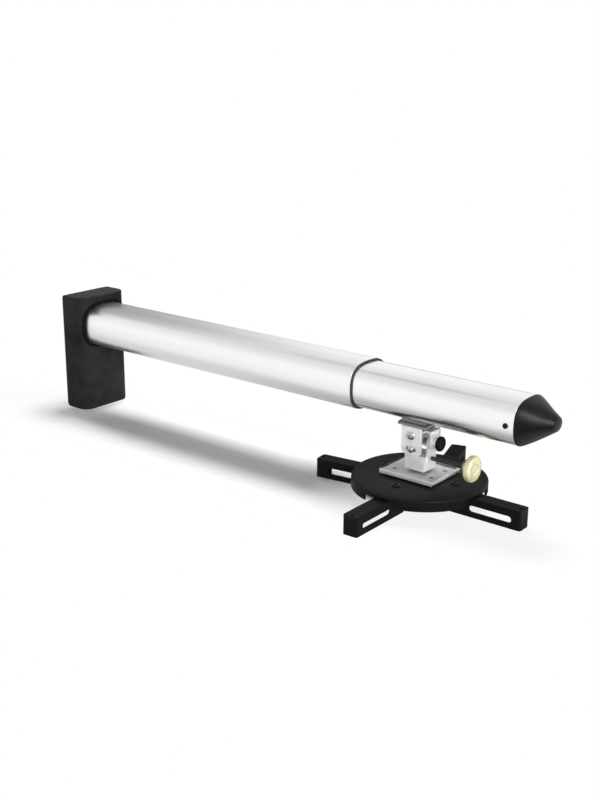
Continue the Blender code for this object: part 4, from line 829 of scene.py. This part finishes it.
def build_tilt_fasteners():
    """The bolt and nut that the yoke tilts on, and the screws in the arc slots."""
    body, face = "tilting_yoke", BRACKET_HALF + GAP
    screw("pitch_bolt", (HEAD_X, -face, PITCH_Z), (0, -1, 0), body)
    nut("pitch_nut", (HEAD_X, face, PITCH_Z), (0, 1, 0), SMALL_NUT, body)
    for name, side in (("near", -1), ("far", 1)):
        at = (HEAD_X, side * face, PITCH_Z - ARC_RADIUS)
        screw(f"arc_screw_{name}", at, (0, side, 0), body)


def build_roll_block():
    """A machined block with two round ears, bored upright for the spindle."""
    half, side_half, ear_half, ear_ends = 0.0165, 0.0157, 0.0099, (0.01555, 0.01905)
    foot, top, waist = BLOCK_FOOT, BLOCK_FOOT + BLOCK_HEIGHT, BLOCK_FOOT + BLOCK_HEIGHT / 2
    plan = rectangle((HEAD_X - half, -side_half), (HEAD_X + half, side_half), 0.002)
    body = prism(plan, "Z", foot, top)
    crown = arc((0, ROLL_Z), ear_half, 0, 180, 28)
    ear = np.concatenate([[(ear_half, waist)], crown, [(-ear_half, waist)]])
    ears = [prism(ear, "X", *sorted(HEAD_X + s * end for end in ear_ends)) for s in (-1, 1)]
    block = carve(body, ears, "UNION")
    cuts = drilled(AXLE_HOLE, [(0, ROLL_Z)], "X", *ALONG)
    cuts += drilled(0.0166, [(HEAD_X, 0)], "Z", foot - 0.02, foot + 0.05, 48)
    cuts += drilled(BOLT_HOLE, [(0, THUMB_Z)], "X", HEAD_X, ALONG[1])
    mesh = carve(block, cuts)
    piece("machined_block", mesh, HEAD_ZINC, "zinc", "rolling_block", "roll_block", bevel=0.0003)


def build_roll_bolt():
    """A threaded rod with a six-sided head, whose outer corners are turned round."""
    half, rod, thread, head, width = ROLL_HALF, 0.004, 0.009, 0.005, 0.013
    outline = [(0, half + thread), (rod, half + thread), (rod, -half), (0, -half)]
    shank = turned(softened(outline, [0, 0.0006, 0, 0], 3), 40)
    mesh = carve(shank, [hexagon(width, -half - head, -half, "low")], "UNION")
    mesh = placed(mesh, (HEAD_X, 0, ROLL_Z), (1, 0, 0))
    piece("roll_axle", mesh, SCREW_ZINC, "zinc", "rolling_block", "roll_bolt")


def build_roll_knob():
    """Radius 11 mm with ten shallow finger flutes: 1 - 0.05 (1 - cos 10 angle) / 2 on the rim."""
    radius, hub, thick, bore, dish = 0.011, 0.006, 0.006, 0.0043, 0.0006
    top, neck, base = hub + thick, radius * 0.58, HEAD_X + ROLL_HALF
    outline = [
        (0, top - dish), (radius * 0.50, top - dish), (neck, top), (radius * 0.86, top),
        (radius, top - 0.0022), (radius, hub + 0.0016), (radius * 0.90, hub), (neck, hub),
        (neck, 0), (bore, 0), (bore, hub + 0.0036), (0, hub + 0.0036),
    ]
    rounds = [0, 0.0006, 0.0006, 0.0012, 0.0012, 0.001, 0.0006, 0.0004, 0.0003, 0, 0, 0]

    def flutes(r, h, angle):
        rim = np.clip((r - radius * 0.8) / (radius * 0.2), 0, 1)
        return 1 - 0.05 * rim * (1 - np.cos(10 * angle)) / 2

    mesh = turned(softened(outline, rounds, 4), 160, flutes)
    mesh = placed(mesh, (base, 0, ROLL_Z), (1, 0, 0))
    piece("lock_knob", mesh, KNOB_BLACK, "black_plastic", "roll_lock", "roll_knob")
    mesh.materials.append(HEAD_ZINC)
    centres = np.empty(3 * len(mesh.polygons))
    mesh.polygons.foreach_get("center", centres)
    on_neck = centres.reshape(-1, 3)[:, 0] < base + hub - 0.0004
    mesh.polygons.foreach_set("material_index", on_neck.astype(np.int32))


def build_thumb_screw():
    """A turned brass screw with a rim of thirty ridges: 1 - 0.035 (1 - |cos 15 angle|)."""
    face, thick, collar, tip = 0.0885, 0.0095, 0.006, 0.0067
    radius, neck, shank, dish = 0.0185, 0.0115, 0.003, 0.0006
    back = face - thick
    outline = [
        (0, face - dish), (radius * 0.40, face - dish), (radius * 0.46, face),
        (radius - 0.0016, face), (radius, face - 0.0016), (radius, back + 0.0014),
        (radius - 0.0014, back), (neck, back), (neck, back - collar), (shank, back - collar),
        (shank, tip + 0.003), (0.0012, tip), (0, tip),
    ]
    edge = 0.0006
    rounds = [0, 0.0004, 0.0004, edge, edge, edge, edge, 0.0004, 0.0008, 0.0003, 0.0002, 0.0002, 0]

    def flutes(r, h, angle):
        rim = np.clip((r - (radius - 0.0018)) / 0.0018, 0, 1)
        return 1 - 0.035 * rim * (1 - np.abs(np.cos(15 * angle)))

    mesh = smooth(turned(softened(outline, rounds, 3), 360, flutes), 50.0)
    mesh = placed(mesh, (HEAD_X, 0, THUMB_Z), (1, 0, 0))
    piece("brass_thumb_screw", mesh, BRASS, "brass", "swivel_lock", "thumb_screw")


# Swivelling hub


def build_washer():
    """A flat ring under the block, with its edges broken."""
    inner, outer, low, high = 0.0083 + GAP, 0.0137, -0.1058, -0.1048
    outline = [(inner, low), (outer, low), (outer, high), (inner, high)]
    mesh = turned(softened(outline, 0.0002, 2, True), closed=True)
    mesh = placed(mesh, (HEAD_X, 0, 0))
    # The washer is painted near black as the shade in the gap between the block and the carrier
    piece("washer", mesh, PAINTED_SHADE_BLACK, "nylon", "swivel_hub", "thrust_washer")


def build_spindle():
    """A turned post with a groove for the brass screw's tip, a thin foot, and the nut under it."""
    top, foot, seat = BLOCK_FOOT + BLOCK_HEIGHT, -0.11305, CARRIER_TOP + GAP
    r, groove, thin = 0.008, 0.0016, 0.004
    outline = [
        (0, top), (r - 0.001, top), (r, top - 0.001), (r, THUMB_Z + 0.003),
        (r - groove, THUMB_Z + 0.0021), (r - groove, THUMB_Z - 0.0021), (r, THUMB_Z - 0.003),
        (r, seat), (thin, seat), (thin, foot), (0, foot),
    ]
    mesh = placed(turned(softened(outline, 0.0002, 2), 72), (HEAD_X, 0, 0))
    piece("post", mesh, SPINDLE_STEEL, "zinc", "swivel_hub", "spindle")
    nut("spindle_nut", (HEAD_X, 0, -0.1087), (0, 0, -1), SPINDLE_NUT, "swivel_hub")


def build_carrier():
    """A sheet folded into rails along both sides, with a folded stop across the front."""
    top, sheet, half, depth, lip = CARRIER_TOP, 0.0023, 0.0367, 0.007, 0.0068
    bottom, lip_top = top - depth, -0.11160
    points = [
        (half - sheet, top - sheet), (half - sheet, lip_top), (half - lip, lip_top),
        (half - lip, bottom), (half, bottom), (half, top),
    ]
    bends = [0.0006, 0.0004, 0.0003, 0.0003, 0.0014, 0.0026]
    rear, front = HEAD_X - 0.0437, HEAD_X + 0.0437
    rails = prism(softened(mirrored(points), bends + bends[::-1], 8, True), "X", rear, front)
    corners = [(rear, bottom), (front, bottom), (front, top), (rear, top)]
    side = softened(corners, [0, 0.0004, 0.0026, 0.0004], 8, True)
    side = prism(side, "Y", -half * 1.2, half * 1.2)
    stop = rectangle((-half + 0.0002, bottom), (half - 0.0002, top - 0.0001), 0.0012)
    stop = prism(stop, "X", front - sheet, front)
    plate = carve(carve(rails, [stop], "UNION"), [side], "INTERSECT")
    cuts = drilled(AXLE_HOLE, [(HEAD_X, 0)], "Z", top - 0.004, top + 0.004)
    places = [(HEAD_X + x, y) for x, y in four(0.030, 0.018)]
    cuts += drilled(0.007, places, "Z", top - 0.0032, top + 0.004)
    mesh = carve(plate, cuts)
    piece("rail_carrier", mesh, CARRIER_ZINC, "zinc", "swivel_hub", "carrier_plate", bevel=0.00025)


def pivot(arm):
    """Where an arm's bolt stands."""
    angle = math.radians(PIVOT_ANGLES[arm])
    return HEAD_X + PIVOT_RADIUS * math.cos(angle), PIVOT_RADIUS * math.sin(angle)


def hub_profile():
    """The dish from its middle over the shoulder to the rim, and back underneath.

    The crown falls as the fourth power of the radius, by 1.7 mm where the shoulder starts."""
    r, t, top = HUB_RADIUS, 0.003, HUB_TOP
    dome, shoulder, bottom, shoulder_start = 0.0017, 0.0035, HUB_TOP - 0.0183, HUB_RADIUS * 0.93
    radius = np.linspace(0, shoulder_start, 14)
    crown = np.column_stack([radius, top - dome * (radius / shoulder_start) ** 4])
    edge = [
        (shoulder_start, top - dome), (r, top - dome - shoulder * 0.3), (r, bottom),
        (r - t, bottom), (r - t, top - dome - 2 * shoulder),
    ]
    edge = softened(edge, [0, 0.0055, 0.0007, 0.0007, 0], 8)
    inside = [(r * 0.92, top - dome - t), (r * 0.6, top - dome * 0.15 - t), (0, top - t)]
    return np.concatenate([crown, edge[1:], inside])


def build_hub():
    """The dish with bosses under it, bolt holes, and notches in its rim where the arms swing."""
    notch_start, notch_half = 0.0771, 0.02852
    bosses, cuts = [], []
    for arm, angle in PIVOT_ANGLES.items():
        x, y = pivot(arm)
        place = (x - HEAD_X, y)
        bosses.append(prism(circle(place, 0.018, 40), "Z", ARM_TOP + GAP, HUB_TOP - 0.0024))
        cuts += drilled(BOLT_HOLE, [place], "Z", *DOWN)
        shape = rectangle((notch_start, -notch_half), (0.11, notch_half), 0.0004)
        notch = prism(shape, "Z", DOWN[0], ARM_TOP + 2 * GAP)
        cuts.append(placed(notch, turn=angle))
    cuts += drilled(0.0046, four(*ADAPTER_SCREWS), "Z", *DOWN, 24)
    dish = carve(turned(hub_profile(), 192), bosses, "UNION")
    mesh = placed(carve(dish, cuts), (HEAD_X, 0, 0))
    piece("dish", mesh, HUB_BLACK, "black_plastic", "swivel_hub", "hub_disc")


def build_hub_screws():
    """The adapter's four screws, and each arm's bolt and nut."""
    body = "swivel_hub"
    for number, (x, y) in enumerate(four(*ADAPTER_SCREWS), 1):
        screw(f"adapter_screw_{number}", (HEAD_X + x, y, -0.1107), (0, 0, 1), body)
    for arm in ARM_ANGLES:
        x, y = pivot(arm)
        screw(f"arm_bolt_{arm}", (x, y, HUB_TOP - 0.00017 + GAP), (0, 0, 1), body)
        nut(f"arm_nut_{arm}", (x, y, ARM_TOP - 0.0028), (0, 0, -1), SMALL_NUT, body, 30.0)


def build_arm(arm):
    """A channel open below with a solid tip. A web is closed round its slot or open under it."""
    length, half, height, wall, tip = 0.109, 0.0115, 0.028, 0.0025, 0.011
    slot_low, slot_high, slot_end = -height + 0.008, -height + 0.0172, length - 0.014
    slot_start, open_start, below = 0.030, 0.016, -2 * height
    corners = [(0, -half), (length, -half), (length, half), (0, half)]
    front = softened(corners, [0, 0.0035, 0.0035, 0], 8)
    plan = np.concatenate([front, arc((0, 0), half, 90, 270, 24)[1:-1]])
    bar = prism(plan, "Z", -height, 0)
    hollow = rectangle((-0.03, -half + wall), (length - tip, half - wall), 0.0012)
    cuts = [prism(hollow, "Z", below, -wall)]
    middle = ((slot_start + slot_end) / 2, (slot_low + slot_high) / 2)
    closed = stadium(middle, slot_end - slot_start, slot_high - slot_low)
    corners = four_sided((open_start, below), (slot_end, slot_high))
    opened = softened(corners, [0, 0, 0.0046, 0.0046], 8, True)
    for side in (-1, 1):
        shape = closed if side in CLOSED_WEB[arm] else opened
        cuts.append(prism(shape, "Y", *sorted((0, side * 0.03))))
    cuts += drilled(BOLT_HOLE, [(0, 0)], "Z", -0.01, 0.01)
    cuts += drilled(0.005, [(length - tip / 2, 0)], "Z", -0.05, 0.01)
    mesh = placed(carve(bar, cuts), (*pivot(arm), ARM_TOP), turn=ARM_ANGLES[arm])
    body, node = f"swing_arm_{arm}", f"arm_{arm}"
    piece(
        f"{arm}_channel_arm", mesh, ARM_BLACK, "black_paint", body, node, bevel=0.0006, segments=3
    )


def refinish(node, finish):
    """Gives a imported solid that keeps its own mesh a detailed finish."""
    obj = nodes[node]
    obj.data.materials.clear()
    obj.data.materials.append(finish)


# Studio


def floor_finish():
    """White board that keeps the shadow near the mount. Far from it the camera sees white."""
    made = Finish("floor_white", grey(0.92), 0.8, Specular_IOR_Level=0.0)
    paper = made.noise(40.0, 3.0, 0.5)
    made.set("Base Color", made.mixed(made.between(paper, 0.0, 1.0), grey(0.93), grey(0.91)))
    path = made.node("ShaderNodeLightPath").outputs
    seen = made.combined(path["Is Camera Ray"], path["Is Glossy Ray"], "MAXIMUM")
    seen = made.combined(seen, path["Is Transmission Ray"], "MAXIMUM")
    shift = {"Vector": made.place, "Location": SHADOW_SHIFT, "Rotation": (0, 0, SHADOW_TURN)}
    strip = made.node("ShaderNodeMapping", shift).outputs[0]
    strip = made.node("ShaderNodeVectorMath", {0: strip, 1: SHADOW_SCALE}, operation="MULTIPLY")
    off = made.node("ShaderNodeVectorMath", {0: strip.outputs[0]}, operation="LENGTH")
    far = made.between(off.outputs["Value"], 0.0, 1.0, *SHADOW_FADE)
    beyond = made.between(made.along("X"), 0.0, 0.85, *SHADOW_END)
    far = made.combined(far, beyond, "MAXIMUM")
    off = made.node("ShaderNodeVectorMath", {0: made.place, 1: HUB_SHADE}, operation="DISTANCE")
    far = made.combined(far, made.between(off.outputs["Value"], 0.0, 1.0, *HUB_SHADE_FADE))
    glow = made.combined(seen, FLOOR_GLOW)
    glow = made.node("ShaderNodeEmission", {"Color": WHITE, "Strength": glow})
    near = made.node("ShaderNodeAddShader", {0: made.shader.outputs[0], 1: glow.outputs[0]})
    white = made.node("ShaderNodeEmission", {"Color": WHITE, "Strength": 1.0})
    parts = {0: made.combined(seen, far), 1: near.outputs[0], 2: white.outputs[0]}
    made.surface(made.node("ShaderNodeMixShader", parts).outputs[0])
    return made.material


def sheet_of(name, corners, finish):
    """A flat four-cornered sheet of the studio."""
    mesh = bpy.data.meshes.new(name)
    mesh.from_pydata(corners, [], [(0, 1, 2, 3)])
    mesh.materials.append(finish)
    obj = linked(name, mesh)
    return obj


def build_floor(half=12.0):
    plan = four_sided((-half, -half), (half, half))
    sheet_of("floor", [(x, y, FLOOR_Z) for x, y in plan], floor_finish())


def build_world():
    """White to the camera. Mirrors see white that greys a little upward, and the fill is grey."""
    world = bpy.data.worlds.new("studio")
    world.use_nodes = True
    tree = world.node_tree
    tree.nodes.clear()
    path = add_node(tree, "ShaderNodeLightPath").outputs
    direction = add_node(tree, "ShaderNodeTexCoord").outputs["Generated"]
    height = add_node(tree, "ShaderNodeSeparateXYZ", {"Vector": direction}).outputs["Z"]
    ramp = {"Value": height, "From Min": 0.25, "From Max": 0.80, "To Min": 1.0, "To Max": WORLD_TOP}
    mirrored = add_node(tree, "ShaderNodeMapRange", ramp).outputs["Result"]
    seen = {0: path["Is Camera Ray"], 1: path["Is Transmission Ray"]}
    seen = add_node(tree, "ShaderNodeMath", seen, operation="MAXIMUM").outputs[0]
    level = {0: path["Is Glossy Ray"], 2: WORLD_FILL, 3: mirrored}
    level = add_node(tree, "ShaderNodeMix", level).outputs[0]
    level = add_node(tree, "ShaderNodeMath", {0: level, 1: seen}, operation="MAXIMUM").outputs[0]
    light = add_node(tree, "ShaderNodeBackground", {"Color": WHITE, "Strength": level})
    add_node(tree, "ShaderNodeOutputWorld", {"Surface": light.outputs["Background"]})
    bpy.context.scene.world = world


def softbox(name, at, target, size, watts):
    """A rectangular lamp turned to a point."""
    lamp = bpy.data.lights.new(name, "AREA")
    lamp.shape, lamp.size, lamp.size_y, lamp.energy = "RECTANGLE", *size, watts
    obj = linked(name, lamp)
    obj.location = at
    obj.rotation_euler = (Vector(target) - Vector(at)).to_track_quat("-Z", "Y").to_euler()
    return obj


def flag(name, corners, tone, *ramps):
    """A grey board beside the set that only mirrors see: it gives bright metal its darker bands.

    A ramp is (axis, start, end, level): from start to end the tone goes evenly to the level."""
    made = Finish(name, grey(tone), 0.9)
    level = made.between(made.noise(30.0, 2.0, 0.5), 0.95 * tone, 1.05 * tone)
    for axis, start, end, highest in ramps:
        ramp = made.between(made.along(axis), tone, highest, start, end)
        level = made.combined(level, ramp, "MAXIMUM")
    glow = made.node("ShaderNodeEmission", {"Color": WHITE, "Strength": level})
    made.surface(glow.outputs["Emission"])
    obj = sheet_of(name, corners, made.material)
    obj.visible_camera = obj.visible_diffuse = obj.visible_shadow = False
    obj.visible_transmission = False


def build_flags():
    """Boards behind the mount, over it, low beside it, under it and under the nose."""
    floor = FLOOR_Z + 0.001

    def lying(z, *corners):
        return [(x, y, z) for x, y in four_sided(*corners)]

    wall = [(-0.75, 0.02, floor), (-0.75, 1.75, floor), (-0.75, 1.75, 1.8), (-0.75, -0.10, 1.8)]
    flag("wall_board", wall, 0.36, ("Y", 0.75, 1.75, 1.0), ("Z", 0.55, 1.75, 0.95))
    flag("ceiling_strip", lying(1.8, (-0.75, -0.05), (0.10, 0.50)), 0.50)
    low = [(x, 0.30, z) for x, z in four_sided((-0.30, floor), (0.75, 0.04))]
    flag("low_board", low, 0.08)
    under = lying(floor, (-0.60, -0.42), (0.88, 0.30))
    flag("under_board", under, 0.36, ("X", 0.60, 0.25, 0.68), ("Y", -0.10, -0.40, 1.0))
    flag("nose_board", lying(floor, (0.98, -1.20), (2.00, -0.15)), 0.05)


def build_lights():
    """The key from above, a low front lamp that fills the shadow, and a glint on the nose."""
    key = softbox("key", (0.30, 0.66, 2.10), (0.45, 0.0, -0.1), (0.85, 0.85), 52.0)
    front = softbox("front", (2.10, -0.90, 0.28), (0.85, 0.0, -0.05), (0.34, 0.80), 23.0)
    glint = softbox("glint", (1.95, -0.56, 0.72), (0.89, 0.0, 0.0), (0.28, 0.75), 14.0)
    key.visible_glossy = front.visible_glossy = glint.visible_diffuse = False


def build_camera():
    """The photo's view: turned from +X by its yaw, then down by its pitch and over by its roll."""
    yaw, pitch, roll = (math.radians(a) for a in CAMERA_TURN)
    level = Vector((math.cos(yaw), math.sin(yaw), 0))
    ahead = level * math.cos(pitch) - Vector((0, 0, math.sin(pitch)))
    right = Vector((math.sin(yaw), -math.cos(yaw), 0))
    up = right.cross(ahead)
    side = right * math.cos(roll) + up * math.sin(roll)
    upward = up * math.cos(roll) - right * math.sin(roll)
    turn = Matrix((side, upward, -ahead)).transposed()
    data = bpy.data.cameras.new("camera")
    data.sensor_width, data.lens = CAMERA_SENSOR, CAMERA_LENS
    data.clip_start, data.clip_end = 0.05, 60.0
    camera = linked("camera", data)
    camera.matrix_world = Matrix.Translation(CAMERA_PLACE) @ turn.to_4x4()
    bpy.context.scene.camera = camera


def build_mount():
    build_tubes()
    build_mouth_ring()
    build_cover()
    build_root_ring()
    build_wall_screws()
    build_nose()
    build_extension_screws()
    build_upper_bracket()
    build_saddle()
    build_tilt_yoke()
    build_tilt_fasteners()
    build_roll_block()
    build_roll_bolt()
    build_roll_knob()
    build_thumb_screw()
    build_washer()
    build_spindle()
    build_carrier()
    build_hub()
    build_hub_screws()
    for arm in ARM_ANGLES:
        build_arm(arm)
    refinish("wall_plate", PLATE_BLACK)
    refinish("tube_socket", SOCKET_CAST)
    refinish("rear_glide", GLIDE_NYLON)
    refinish("nut_bar", HEAD_ZINC)
    refinish("adapter_plate", SCREW_BLACK)


build_mount()
build_floor()
build_world()
build_lights()
build_flags()
build_camera()
bpy.context.scene.view_settings.view_transform = "Standard"
